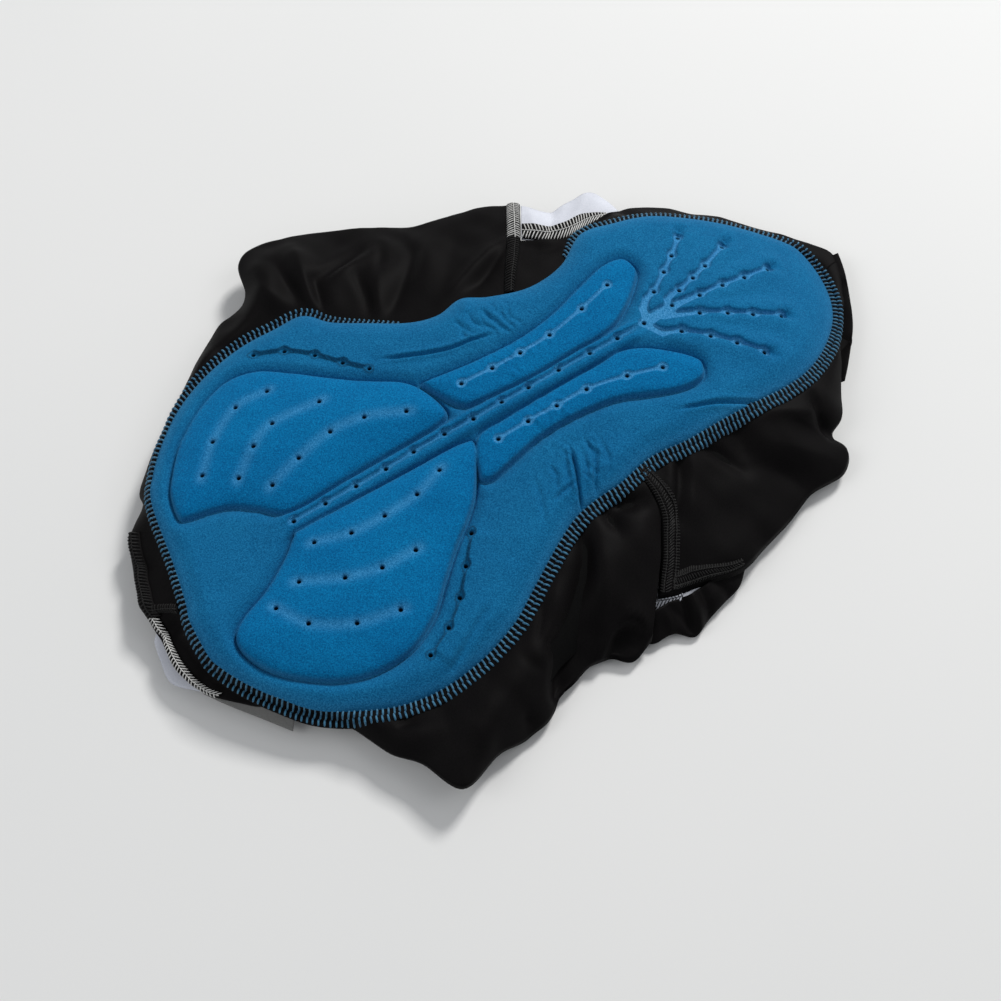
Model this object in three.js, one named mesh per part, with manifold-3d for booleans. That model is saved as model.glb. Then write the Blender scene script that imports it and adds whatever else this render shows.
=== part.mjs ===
// Padded cycling tights, turned inside out and lying heaped on a table with the seat pad up.
// Millimetres, +Z up, the table at z = 0, the origin under the middle of the heap.
// The pad has its own plan axes: u runs from its rear to its front and v to the wearer's left.
import * as THREE from 'three';
import Module from 'manifold-3d';

// ---------- driving dimensions ----------
const ORIGIN_X = 1.6, ORIGIN_Y = 22.85;      // middle of the heap's footprint in the drawing plan
const PAD_TURN = 31.0428;                 // degrees from +X to the pad's u axis
const PAD_X = 0.45, PAD_Y = 48.25;        // where u = v = 0 lies in the drawing plan
const PAD_HEIGHT = 42;                    // face of the pad over the table at u = v = 0
const PAD_THICK = 7.5;                    // moulded foam in the flat of the pad, with its face cloth
const PAD_EDGE = 3.2;                     // thickness of the stitched flange
const FLANGE = 9;                         // width of the flange
const CLOTH = 1.6;                        // wall of the knitted panels
const SEAM_GAP = 0.3;                     // air left between sewn pieces
const CORE_GAP = 0.45;                    // air between the panels and the layers under them
const SERGE_THICK = 1.5, SERGE_WIDTH = 8; // overlocked seam allowance
const LABEL_THICK = 1.0;
const TUCK = 9;                           // how far a panel runs in under the pad
const SET_BACK = 8, FRONT_SET_BACK = 15;   // from a panel's fold in to the layers under it, and at the front where one more fold lies between
const LAYER = 5.5;                        // one hidden layer of cloth, seen at the heap's edge

// the pad's face over the table: height added at U = u/150, V = v/150
const DOME = [
  // power of U, power of V, millimetres
  [1, 0, 12.35], [0, 1, 2.95], [2, 0, -5.92], [1, 1, -0.75], [0, 2, -9.68], [3, 0, -9.26],
  [2, 1, -0.55], [1, 2, -1.29], [4, 0, -1.25], [0, 4, -0.37], [2, 2, -1.01],
];
const rows = (columns, values) => {
  const names = columns.split(' ');
  return values.map((r) => Object.fromEntries(names.map((n, i) => [n, r[i]])));
};

// the pad's outline: where its two edges lie at each station along it
const PAD = rows('u left right', [
  [-197.5, -21.3, -42.3], [-195, -11.3, -50.7], [-191, 12.2, -59.0], [-186, 49.6, -67.1], [-178, 65.4, -77.9],
  [-165, 81.3, -92.6], [-148, 96.2, -103.6], [-126, 107.6, -113.2], [-102, 113.5, -116.5], [-80, 113.5, -114.0],
  [-67, 113.6, -110.5], [-60, 109.7, -108.0], [-52, 99.2, -104.5], [-36, 87.4, -94.8], [-16, 73.8, -83.1],
  [0, 68.8, -75.4], [16, 71.0, -72.3], [30, 63.4, -71.5], [52, 56.5, -67.3], [75, 59.7, -68.7], [97, 73.3, -67.9],
  [118, 71.3, -67.5], [140, 66.8, -67.2], [160, 56.6, -63.5], [180, 44.1, -54.0], [197, 31.0, -40.6],
  [208, 21.7, -25.2], [214, 12.8, -5.9],
]);
// raised cushions: their two long edges at each station along the pad
const SEAT_LEFT = rows('u high low', [
  [-176, 38, 31], [-170, 58, 28], [-158, 72.3, 25.5], [-138, 87.5, 13.5], [-120, 94, 5], [-102, 90.6, 5.2], [-87, 79.2, 5.2],
  [-73, 66.8, 5.4], [-58.6, 54.4, 5.5], [-39, 40, 6.5], [-29.5, 22, 7.5],
]);
const SEAT_RIGHT = rows('u high low', [
  [-180, -43, -50], [-173, -35, -68], [-157, -27.3, -81.5], [-141, -16.7, -91], [-128, -8, -94.3], [-108, -7.6, -93.1],
  [-90, -7.3, -84], [-76, -7.8, -71.2], [-62, -8.2, -58.5], [-49, -8.5, -48.8], [-32, -9.5, -28], [-25, -13, -17],
]);
const MID_LEFT = rows('u high low', [
  [-30, 31, 28], [-22, 32.6, 14], [-6, 30, 5], [20, 28, 3.4], [48, 31, 4.5], [72, 38, 6.2], [90, 44, 15], [102, 44, 25], [108, 38, 32],
]);
const MID_RIGHT = rows('u high low', [
  [-31, -29, -34], [-22, -12, -36], [-3, -9.7, -31], [26, -9, -28.8], [54, -8.7, -32.5], [70, -8, -38.5], [85, -14, -44], [98, -25, -44.3], [104.5, -33, -38],
]);
const CUSHION_RISE = { seat: 9, mid: 4 };

// cloth panels that start under the pad: `at` is the distance along the pad's edge from its front tip,
// m the middle of the section and r its outer fold, in the drawing plan
const SECTION = 'at mx my mz rx ry rz';
const BACK_LEFT = rows(SECTION, [
  [575, -191, -3, 20, -195, 1, 14], [587, -190, 8, 21, -195, 10, 14], [610, -186, 32, 23, -188, 38, 16],
  [647, -173, 67, 25, -175, 77, 17], [669, -161, 90, 27, -163, 107, 18], [689, -148, 103, 28, -154, 117, 19],
  [703, -140, 116, 30, -148, 125, 20], [717, -134, 126, 32, -147, 135, 20], [727, -130, 136, 33, -152, 153, 20],
  [734, -120, 141, 33, -143, 166, 20], [745, -104, 142, 32, -118, 174, 20], [759, -86, 141, 31, -94, 178, 19],
  [775, -68, 143, 31, -72, 180, 19], [791, -51, 145, 31, -52, 181, 19], [808, -32, 149, 32, -32, 187, 20],
  [828, -13, 155, 33, -12, 193, 21], [847, 3, 156, 35, 3, 193, 23], [853, 11.4, 157, 35, 11.4, 192.5, 24],
]);
const FRONT_LEFT = rows(SECTION, [
  [853.4, 11.9, 146, 37, 11.9, 160.5, 35], [866, 23, 150, 37, 24, 159, 35], [880, 33, 153, 37, 36, 160, 34.5], [893, 42, 160, 36, 46, 167, 33],
  [906, 51, 168, 35, 55, 174, 32], [919, 59, 176, 31, 63, 183, 28], [932, 68, 184, 27, 72, 191, 22], [955, 88, 188, 25, 89, 194, 20],
  [980, 112.2, 187.1, 22, 113.1, 193.1, 17], [1003, 134.5, 185.3, 18.5, 135.1, 191.4, 13], [1024, 155, 180.7, 14, 157.4, 186.3, 9.5],
  [1041, 172.4, 175.6, 11, 176.2, 179.7, 8.5], [1057, 186.9, 165.1, 10.5, 194.2, 170.9, 9.5], [1069.5, 193.7, 157.6, 11, 199.1, 161.9, 10],
]);
const FRONT_RIGHT = rows(SECTION, [
  [2.6, 193.8, 158, 11, 199.2, 162.3, 10], [12, 196.2, 148.7, 11.5, 200.4, 152.3, 10.5], [22, 197, 135.4, 12.5, 199.9, 137.8, 11],
  [37, 195.1, 118.2, 15.5, 198.2, 120.2, 12.5], [54, 191.2, 98.1, 18.5, 194.1, 99.9, 13.5], [72, 185.6, 78.5, 21.5, 192.3, 76.4, 13], [91, 177, 57, 25, 190, 56, 14], [108, 168, 47, 26, 184, 45, 13],
  [123, 162, 43, 25, 191, 35, 10], [140, 151, 33, 24, 186, 22, 9], [155, 136, 24, 25, 170, 12, 9], [166, 125, 12, 26, 156, -5, 9],
  [175, 115, 5, 27, 140, -21, 10], [182, 104, 1, 28, 127, -35, 12], [192, 97, -5, 29, 107, -43, 13], [196, 93.5, -8, 29.5, 93, -49, 14], [202, 84.5, -15, 30, 82.5, -52, 15],
]);
const BACK_RIGHT = rows(SECTION, [
  [202.5, 84.1, -16, 30, 78.6, -72, 11], [214, 69, -31, 31, 69, -83, 8], [227, 56, -47, 29, 56, -83, 7], [241, 47, -56, 27, 47, -86, 7],
  [256, 37, -66, 26, 38, -97, 7], [271, 28, -77, 25, 31, -105, 7], [287, 20, -89, 25, 24, -117, 8], [306, 11, -103, 25, 14, -126, 9],
  [326, 0, -116, 25, -1, -136, 12], [342, -16, -126, 25, -18, -154, 19], [361, -31, -127, 24, -38, -142, 17], [375, -49, -127, 22, -55, -136, 14],
  [392, -65, -122, 20, -73, -124, 13], [409, -80, -119, 19, -84, -120, 13], [424, -94, -115.5, 16, -95.6, -115.5, 13],
]);
const REAR = rows(SECTION, [
  [424.5, -95, -115.3, 16, -96.2, -115.3, 13], [439, -110, -113, 15, -112, -114, 11], [455, -126.5, -107, 15, -130, -110, 11],
  [470, -145, -100.5, 14, -151.2, -103.6, 11], [482, -155, -91.5, 15, -163.6, -94, 12], [493, -163, -80, 16, -173, -80, 13],
  [506, -170, -67, 18, -181, -68, 13], [522, -176, -55, 19, -189, -54, 13], [540, -183, -36, 19, -195, -35, 12],
  [556, -187, -21, 20, -198, -20, 12], [568, -190, -12, 20, -197, -11, 13], [574.5, -191, -4, 20, -196, -1, 13.5],
]);
// pieces sewn on beyond a panel: a is their sewn edge, m the middle and r the outer edge
const STRIP = 'ax ay az mx my mz rx ry rz';
const INSERT_LEFT = rows(STRIP, [
  [12, 161, 34.2, 12, 177, 32, 12, 191, 25], [24, 159.5, 34, 25, 176, 32, 26, 188, 25], [36, 160.5, 33.5, 38, 180, 31, 40, 195, 24],
  [46, 167.5, 32, 49, 187, 29, 53, 202, 24], [55, 174.5, 31, 58, 187, 28, 63, 197, 23], [62, 182, 27, 65, 186, 25, 70, 190, 22],
]);
const INSERT_RIGHT = rows(STRIP, [
  [81, -49.7, 12.5, 79.8, -55.8, 11, 78.6, -61.8, 9], [89.9, -50.1, 12.2, 88.8, -53.5, 10.8, 88.2, -57.9, 9], [98, -47.1, 11.8, 97.9, -50.6, 10.5, 98.4, -53.9, 9], [106.1, -44, 11.2, 106.7, -45.8, 10, 107.8, -48.1, 8.6],
]);
const INSERT_BACK = rows(STRIP, [
  [-143.2, -100.9, 8.6, -144.3, -101.8, 8, -145.9, -103.1, 7], [-152.3, -96.2, 8.8, -154.2, -99.2, 8.2, -156.2, -101.7, 7], [-161.6, -89.3, 9, -165.4, -93.9, 8.3, -168.9, -97.7, 7],
  [-170.7, -79.7, 9.5, -173.2, -82.6, 8.5, -175.8, -85.3, 7], [-178.4, -70.9, 9.5, -179.4, -73.2, 8.5, -180, -75.4, 7],
]);
const LEG_RIGHT = rows(STRIP, [
  [122, -32, 7.5, 127, -32, 7, 131, -31, 5], [117, -36, 7.2, 122, -41, 8, 127, -43, 5], [111, -39, 6.8, 115, -48, 8.5, 118, -53, 5],
  [104, -42, 6.6, 107, -55, 8, 109, -63, 4.5], [97, -45, 6.6, 99, -61, 7.5, 101, -71, 4.2], [89, -49, 6.6, 89, -62, 7, 90, -70, 4.2],
  [81, -55, 6.4, 81, -66, 7, 81, -75, 4.2],
]);
const FRONT_FOLD = rows(STRIP, [
  [186.4, 157.9, 6.5, 193.1, 164.8, 9, 200.1, 167.7, 11], [189.6, 148, 6.5, 195.9, 151.9, 9, 202.8, 154, 11], [190.2, 131.1, 6.5, 197, 134.3, 9, 203.7, 135, 11],
  [190.3, 115.2, 6.5, 196.9, 117, 9, 203.4, 117.1, 11], [187.3, 96.9, 6.5, 193.8, 98, 9, 199.6, 98.1, 11], [184.2, 82.6, 6, 189.4, 81.4, 8, 195.1, 80.8, 10],
]);
const CARE_LABEL = rows(STRIP, [
  [-104, -112.5, 13.2, -105, -117, 11.5, -107, -127, 5], [-118, -108, 13, -121, -116, 10.5, -123, -124.5, 5], [-133, -103, 12.8, -137, -110, 10, -141, -117.5, 6],
  [-146, -97.5, 13, -149, -102.5, 11.5, -153, -107, 8],
]);
// overlocked seams: which panel they lie on, from which row to which, and between which parts of its sections
const SERGES = {
  inseam_left: { on: 'BACK_LEFT', along: 'section', from: 0.02, to: 0.97, row: 16.5, width: 0.94 },
  inseam_right: { on: 'FRONT_RIGHT', along: 'section', from: 0.02, to: 0.9, row: 15.5, width: 0.92 },
  cross_seam_left: { on: 'INSERT_LEFT', along: 'rows', from: 0.05, to: 4.6, lo: 0.0, hi: 0.32 },
  cross_seam_right: { on: 'FRONT_RIGHT', along: 'rows', from: 12.9, to: 15.0, lo: 0.87, hi: 0.99 },
  rear_serge: { on: 'REAR', along: 'rows', from: 2.6, to: 9.35, lo: 0.64, hi: 0.97 },
};
const COLOURS = {
  pad: [0x1b6a9e, 0.92], black: [0x161517, 0.75], white: [0xd3d7e2, 0.8], serge: [0x2a2a2a, 0.95], label: [0xd9d9d6, 0.5], core: [0x151416, 0.85],
};

// ---------- helpers ----------
const V = (x, y, z) => new THREE.Vector3(x, y, z);
const cubic = (a, b, c, d, t) => 0.5 * (2 * b + (c - a) * t + (2 * a - 5 * b + 4 * c - d) * t * t + (3 * b - a - 3 * c + d) * t * t * t);
const cubicV = (a, b, c, d, t) => V(cubic(a.x, b.x, c.x, d.x, t), cubic(a.y, b.y, c.y, d.y, t), cubic(a.z, b.z, c.z, d.z, t));
const through = (pts, s) => { // open smooth curve through points, s from 0 to the last index
  const n = pts.length - 1, i = Math.min(Math.max(Math.floor(s), 0), n - 1), t = s - i;
  const b = pts[i], c = pts[i + 1];
  const a = i > 0 ? pts[i - 1] : b.clone().multiplyScalar(2).sub(c), d = i < n - 1 ? pts[i + 2] : c.clone().multiplyScalar(2).sub(b);
  return cubicV(a, b, c, d, t);
};
const turn = THREE.MathUtils.degToRad(PAD_TURN), CT = Math.cos(turn), ST = Math.sin(turn);
const plan = (u, v) => [PAD_X + u * CT - v * ST, PAD_Y + u * ST + v * CT];
const pad = (x, y) => [(x - PAD_X) * CT + (y - PAD_Y) * ST, -(x - PAD_X) * ST + (y - PAD_Y) * CT];
const dome = (u, v) => DOME.reduce((h, [a, b, k]) => h + k * (u / 150) ** a * (v / 150) ** b, PAD_HEIGHT);
const closed = (pts, per) => { // closed smooth loop
  const n = pts.length, out = [];
  for (let i = 0; i < n; i++) for (let k = 0; k < per; k++)
    out.push(cubicV(pts[(i + n - 1) % n], pts[i], pts[(i + 1) % n], pts[(i + 2) % n], k / per));
  return out;
};
// the pad's edge as a loop in u, v, from the front tip round by the wearer's right side
const loopOf = (table, hi, lo, per) => closed([...table].reverse().map((r) => V(r.u, r[lo], 0)).concat(table.map((r) => V(r.u, r[hi], 0))), per);
const EDGE = loopOf(PAD, 'left', 'right', 10);
const EDGE_AT = [0];
EDGE.forEach((p, i) => EDGE_AT.push(EDGE_AT[i] + p.distanceTo(EDGE[(i + 1) % EDGE.length])));
const edgeAt = (at) => { // point and inward direction, in u, v
  const total = EDGE_AT[EDGE.length], a = ((at % total) + total) % total;
  let i = EDGE_AT.findIndex((x) => x > a) - 1;
  if (i < 0) i = EDGE.length - 1;
  const p = EDGE[i], q = EDGE[(i + 1) % EDGE.length], t = (a - EDGE_AT[i]) / (EDGE_AT[i + 1] - EDGE_AT[i]);
  const before = EDGE[(i + EDGE.length - 12) % EDGE.length], after = EDGE[(i + 13) % EDGE.length], along = after.clone().sub(before).normalize();
  return { p: p.clone().lerp(q, t), inward: V(along.y, -along.x, 0) };
};
const underPad = (x, y) => { const [u, v] = pad(x, y); return dome(u, v) - PAD_THICK; };

// closed mesh from a grid of outer points and a grid of inner points
function mesh(points, faces) {
  const g = new THREE.BufferGeometry();
  g.setAttribute('position', new THREE.Float32BufferAttribute(points.flatMap((p) => [p.x - ORIGIN_X, p.y - ORIGIN_Y, p.z]), 3));
  let six = 0;
  for (const [a, b, c] of faces) six += points[a].dot(points[b].clone().cross(points[c]));
  g.setIndex(six < 0 ? faces.flatMap(([a, b, c]) => [a, c, b]) : faces.flat());
  return g;
}
function shell(outer, inner) {
  const n = outer.length, m = outer[0].length, points = [...outer.flat(), ...inner.flat()], faces = [];
  const o = (i, j) => i * m + j, q = (i, j) => n * m + i * m + j;
  for (let i = 0; i < n - 1; i++) for (let j = 0; j < m - 1; j++) {
    faces.push([o(i, j), o(i + 1, j), o(i + 1, j + 1)], [o(i, j), o(i + 1, j + 1), o(i, j + 1)]);
    faces.push([q(i, j), q(i + 1, j + 1), q(i + 1, j)], [q(i, j), q(i, j + 1), q(i + 1, j + 1)]);
  }
  for (let i = 0; i < n - 1; i++) for (const j of [0, m - 1]) {
    const f = [[o(i, j), q(i, j), q(i + 1, j)], [o(i, j), q(i + 1, j), o(i + 1, j)]];
    faces.push(...(j ? f.map(([a, b, c]) => [a, c, b]) : f));
  }
  for (let j = 0; j < m - 1; j++) for (const i of [0, n - 1]) {
    const f = [[o(i, j), q(i, j + 1), q(i, j)], [o(i, j), o(i, j + 1), q(i, j + 1)]];
    faces.push(...(i ? f.map(([a, b, c]) => [a, c, b]) : f));
  }
  return mesh(points, faces);
}
const normals = (grid) => grid.map((row, i) => row.map((p, j) => {
  const a = grid[Math.min(i + 1, grid.length - 1)][j].clone().sub(grid[Math.max(i - 1, 0)][j]);
  const b = row[Math.min(j + 1, row.length - 1)].clone().sub(row[Math.max(j - 1, 0)]);
  return b.cross(a).normalize();
}));
const offset = (grid, nrm, d) => grid.map((row, i) => row.map((p, j) => p.clone().addScaledVector(nrm[i][j], d)));

// the control points of a panel's section, from under the pad out to its fold and a little back under it
const lipOf = (m, r) => {
  const back = V(m.x - r.x, m.y - r.y, 0);
  if (back.length() < 6) back.set(-r.x, 24 - r.y, 0);
  back.normalize();
  return [V(r.x + back.x * 1.2, r.y + back.y * 1.2, r.z - Math.min(3.2, r.z * 0.3)), V(r.x + back.x * 4.5, r.y + back.y * 4.5, r.z - Math.min(5, r.z * 0.45))];
};
const sectionOf = (r) => {
  const e = edgeAt(r.at), under = e.p.clone().addScaledVector(e.inward, TUCK);
  const [ax, ay] = plan(under.x, under.y), [bx, by] = plan(e.p.x, e.p.y);
  const m = V(r.mx, r.my, r.mz), rim = V(r.rx, r.ry, r.rz);
  return [V(ax, ay, underPad(ax, ay) - 0.5), V(bx, by, underPad(bx, by) - 0.5), m, rim, ...lipOf(m, rim)];
};
const stripOf = (r) => [V(r.ax, r.ay, r.az), V(r.mx, r.my, r.mz), V(r.rx, r.ry, r.rz)];
const TABLES = { BACK_LEFT, FRONT_LEFT, FRONT_RIGHT, BACK_RIGHT, REAR, INSERT_LEFT };
const gridOf = (table, section, rowsAt, partsAt) => rowsAt.map((i) => {
  const n = table.length - 1, k = Math.min(Math.max(Math.floor(i), 0), n - 1), t = i - k;
  const s = [k - 1, k, k + 1, k + 2].map((q) => section(table[Math.min(Math.max(q, 0), n)]));
  const pts = s[1].map((_, j) => cubicV(s[0][j], s[1][j], s[2][j], s[3][j], t));
  return partsAt.map((f) => through(pts, f));
});
const PANEL_PARTS = [0, 1, 1.5, 2, 2.5, 3, 4, 5];
const STRIP_PARTS = [0, 0.5, 1, 1.5, 2];
const steps = (n) => Array.from({ length: n }, (_, i) => i);
function sheetParts(table, isPanel) {
  const grid = gridOf(table, isPanel ? sectionOf : stripOf, steps(table.length), isPanel ? PANEL_PARTS : STRIP_PARTS);
  return { grid, nrm: normals(grid) };
}
// a strip of seam allowance that lies on a panel, made from the panel's points moved out
function serge(s) {
  const table = TABLES[s.on], isPanel = s.on !== 'INSERT_LEFT', section = isPanel ? sectionOf : stripOf, last = isPanel ? 3 : 2;
  let grid;
  if (s.along === 'section') grid = gridOf(table, section, [s.row - s.width / 2, s.row, s.row + s.width / 2], steps(9).map((i) => 1 + (last - 1) * (s.from + (s.to - s.from) * i / 8)));
  else grid = gridOf(table, section, steps(11).map((i) => s.from + (s.to - s.from) * i / 10), [0, 0.5, 1].map((f) => (isPanel ? 1 : 0) + (last - (isPanel ? 1 : 0)) * (s.lo + (s.hi - s.lo) * f)));
  const nrm = normals(grid);
  return shell(offset(grid, nrm, SERGE_THICK + SEAM_GAP + 0.15), offset(grid, nrm, SEAM_GAP + 0.15));
}
// a slab under an outline in u, v: rings drawn in towards a spine, then a flat middle
function slab(loop, spine, rings, top, bottom) {
  const near = (p) => {
    let best = null, d = Infinity;
    for (let i = 0; i < spine.length - 1; i++) {
      const q = new THREE.Line3(spine[i], spine[i + 1]).closestPointToPoint(p, true, V(0, 0, 0)), e = q.distanceTo(p);
      if (e < d) { d = e; best = q; }
    }
    return { q: best, d };
  };
  const foot = loop.map(near), n = loop.length, points = [], faces = [];
  const ring = (k, face) => loop.map((p, i) => { const g = p.clone().lerp(foot[i].q, k), [x, y] = plan(g.x, g.y); return V(x, y, face(g.x, g.y, k * foot[i].d)); });
  const layers = [...rings].reverse().map((k) => ring(k, bottom)).concat(rings.map((k) => ring(k, top)));
  layers.forEach((l) => points.push(...l));
  for (let k = 0; k < layers.length - 1; k++) for (let i = 0; i < n; i++) {
    const a = k * n + i, b = k * n + (i + 1) % n, c = a + n, d = b + n;
    faces.push([a, b, d], [a, d, c]);
  }
  const flat = []; // the loop's two edges face each other, so its middle is a ladder between them
  for (let i = 0; i < n / 2 - 1; i++) flat.push([i, i + 1, n - 2 - i], [i, n - 2 - i, n - 1 - i]);
  const head = (layers.length - 1) * n;
  for (const [a, b, c] of flat) faces.push([a, c, b], [head + a, head + b, head + c]);
  return mesh(points, faces);
}
const wasm = await Module();
wasm.setup();
const solid = (g) => new wasm.Manifold(new wasm.Mesh({ numProp: 3, vertProperties: Float32Array.from(g.attributes.position.array), triVerts: Uint32Array.from(g.index.array) }));
const geometry = (m) => {
  const r = m.getMesh(), g = new THREE.BufferGeometry();
  g.setAttribute('position', new THREE.Float32BufferAttribute(Array.from(r.vertProperties), 3));
  g.setIndex(Array.from(r.triVerts));
  return g;
};
// a piece with air all round it: the piece and copies of it moved each way
const airOf = (m, d) => [[d, 0, 0], [-d, 0, 0], [0, d, 0], [0, -d, 0], [0, 0, d], [0, 0, -d]].reduce((s, t) => s.add(m.translate(t)), m);
// how far apart two pieces' boxes are along the axis that parts them most, negative where they meet
const apart = (a, b) => { const p = a.boundingBox(), q = b.boundingBox(); return Math.max(...[0, 1, 2].map((i) => Math.max(p.min[i] - q.max[i], q.min[i] - p.max[i]))); };
const largest = (m) => m.decompose().reduce((a, b) => (a.volume() > b.volume() ? a : b));

// ---------- the seat pad ----------
const padLoop = (per) => loopOf(PAD, 'left', 'right', per);
const SPINE = [V(-160, -10, 0), V(-90, 0, 0), V(0, -1, 0), V(100, 0, 0), V(178, 0, 0)];
const faceTop = (u, v, inset) => dome(u, v) - PAD_THICK + PAD_EDGE + (PAD_THICK - PAD_EDGE - 1.5) * Math.min(inset / FLANGE, 1);
const padBase = (grow) => slab(
  grow ? padLoop(1).map((p, i, all) => { const a = all[(i + all.length - 1) % all.length], b = all[(i + 1) % all.length], t = b.clone().sub(a).normalize(); return p.clone().add(V(-t.y * grow, t.x * grow, 0)); }) : padLoop(1),
  SPINE, [0, 0.12, 0.5, 0.93], (u, v, inset) => faceTop(u, v, inset) + grow, (u, v) => dome(u, v) - PAD_THICK - grow);
const cushion = (table, spine, rise) => slab(loopOf(table, 'high', 'low', 1), spine, [0, 0.25, 0.85],
  (u, v, inset) => dome(u, v) - 1.5 + SEAM_GAP + 0.5 + Math.min(rise, 2.6 + rise * 0.07 * inset), (u, v) => dome(u, v) - 1.5 + SEAM_GAP + 0.4);

// ---------- cloth ----------
const sheets = {
  back_panel_left: [BACK_LEFT, true, CLOTH], front_panel_left: [FRONT_LEFT, true, CLOTH], front_panel_right: [FRONT_RIGHT, true, CLOTH],
  back_panel_right: [BACK_RIGHT, true, CLOTH], rear_panel: [REAR, true, CLOTH],
  insert_left: [INSERT_LEFT, false, CLOTH], insert_right: [INSERT_RIGHT, false, CLOTH], insert_back: [INSERT_BACK, false, 1.2],
  leg_right: [LEG_RIGHT, false, 2.2], front_fold: [FRONT_FOLD, false, CLOTH], care_label: [CARE_LABEL, false, LABEL_THICK],
};
const clothOf = {}, swollen = {}, air = {};
for (const [name, [table, isPanel, t]] of Object.entries(sheets)) {
  const { grid, nrm } = sheetParts(table, isPanel);
  clothOf[name] = solid(shell(grid, offset(grid, nrm, -t)));
  air[name] = airOf(clothOf[name], SEAM_GAP);
  swollen[name] = solid(shell(offset(grid, nrm, CORE_GAP), offset(grid, nrm, -t - CORE_GAP)));
}
const padCut = solid(padBase(0.35));
const order = Object.keys(sheets);
// a piece that runs under another is trimmed back to leave air between the two
const trims = { back_panel_right: ['front_panel_right'], front_panel_left: ['front_panel_right', 'back_panel_left'], rear_panel: ['back_panel_left', 'back_panel_right'], insert_left: ['front_panel_left', 'back_panel_left'], insert_right: ['front_panel_right', 'back_panel_right'], insert_back: ['rear_panel'],
  leg_right: ['front_panel_right', 'back_panel_right', 'insert_right'], front_fold: ['front_panel_right', 'front_panel_left'], care_label: ['rear_panel', 'insert_back'] };
for (const name of order) {
  let m = clothOf[name].subtract(padCut);
  for (const over of trims[name] ?? []) m = m.subtract(air[over]);
  clothOf[name] = largest(m);
}

// ---------- the layers hidden in the heap ----------
const all = [...FRONT_RIGHT, ...BACK_RIGHT, ...REAR.slice(1), ...BACK_LEFT.slice(1), ...FRONT_LEFT.slice(0, -1)];
function core() {
  const rings = all.map((r) => {
    const s = sectionOf(r), back = V(s[5].x - s[3].x, s[5].y - s[3].y, 0).normalize(), rim = s[3], h = Math.max(rim.z - 4.5, 3);
    const at = (d, z) => V(rim.x + back.x * d, rim.y + back.y * d, z);
    const b = r.at < 90 || r.at > 1040 || (r.at > 190 && r.at < 210) ? FRONT_SET_BACK : SET_BACK;
    const side = [at(b + 7, 0), at(b + 2, 0.8), at(b, LAYER * 0.35), at(b + 1.5, Math.min(LAYER * 0.95, h * 0.75)), at(b + 2.5, h)];
    const e = edgeAt(r.at), foot = new THREE.Line3(SPINE[0], SPINE[4]).closestPointToPoint(e.p, true, V(0, 0, 0));
    const inner = [0.15, 0.55, 0.93].map((k) => { const g = e.p.clone().lerp(foot, k), [x, y] = plan(g.x, g.y); return V(x, y, dome(g.x, g.y) - PAD_THICK - (k < 0.3 ? 3.4 : 1.2)); });
    const mid = [through(s, 2.5), through(s, 2), through(s, 1.5), through(s, 1)].map((p) => V(p.x, p.y, Math.max(p.z - 3.2, h)));
    mid.forEach((p, k) => { // where the pad overhangs the fold, the shoulder stays inside the side
      const least = b + 5 + 2 * k;
      if (Math.hypot(p.x - rim.x, p.y - rim.y) < least) { const c = at(least, 0); p.set(c.x, c.y, Math.max(h, Math.min(p.z, underPad(c.x, c.y) - 4))); }
    });
    return [...side, ...mid, ...inner];
  });
  const n = rings.length, m = rings[0].length, points = rings.flat(), faces = [];
  for (let i = 0; i < n; i++) for (let j = 0; j < m - 1; j++) {
    const a = i * m + j, b = ((i + 1) % n) * m + j;
    faces.push([a, b, b + 1], [a, b + 1, a + 1]);
  }
  for (const j of [0, m - 1]) { // each end ring closes on its own middle
    const middle = rings.reduce((s, r) => s.add(r[j]), V(0, 0, 0)).multiplyScalar(1 / n), c = points.push(middle) - 1;
    for (let i = 0; i < n; i++) { const a = i * m + j, b = ((i + 1) % n) * m + j; faces.push(j ? [a, b, c] : [b, a, c]); }
  }
  return mesh(points, faces);
}
let heap = solid(core());
heap = heap.subtract(padCut);
for (const name of order) heap = heap.subtract(swollen[name]).subtract(air[name]);
heap = largest(heap);

// ---------- the part ----------
const root = new THREE.Group();
const add = (name, geo, kind) => {
  const [color, roughness] = COLOURS[kind];
  const o = new THREE.Mesh(geo, new THREE.MeshStandardMaterial({ color, roughness, metalness: 0 }));
  o.name = name;
  root.add(o);
};
add('heap_core', geometry(heap), 'core');
add('pad_base', padBase(0), 'pad');
add('seat_cushion_left', cushion(SEAT_LEFT, [V(-155, 48, 0), V(-120, 46, 0), V(-60, 22, 0), V(-42, 20, 0)], CUSHION_RISE.seat), 'pad');
add('seat_cushion_right', cushion(SEAT_RIGHT, [V(-160, -52, 0), V(-120, -50, 0), V(-60, -26, 0), V(-42, -20, 0)], CUSHION_RISE.seat), 'pad');
add('mid_cushion_left', cushion(MID_LEFT, [V(-20, 23, 0), V(10, 16, 0), V(50, 17, 0), V(95, 34, 0)], CUSHION_RISE.mid), 'pad');
add('mid_cushion_right', cushion(MID_RIGHT, [V(-20, -25, 0), V(10, -19, 0), V(50, -20, 0), V(92, -33, 0)], CUSHION_RISE.mid), 'pad');
const kinds = { insert_left: 'white', insert_right: 'white', insert_back: 'white', care_label: 'label' };
for (const name of order) add(name, geometry(clothOf[name]), kinds[name] ?? 'black');
const laid = [padCut, ...order.map((name) => air[name])]; // what a seam allowance keeps clear of
for (const [name, s] of Object.entries(SERGES)) {
  let m = solid(serge(s));
  for (const other of laid) if (apart(m, other) < 0) m = m.subtract(other);
  m = largest(m);
  laid.push(airOf(m, SEAM_GAP));
  add(name, geometry(m), 'serge');
}

export default root;
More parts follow.
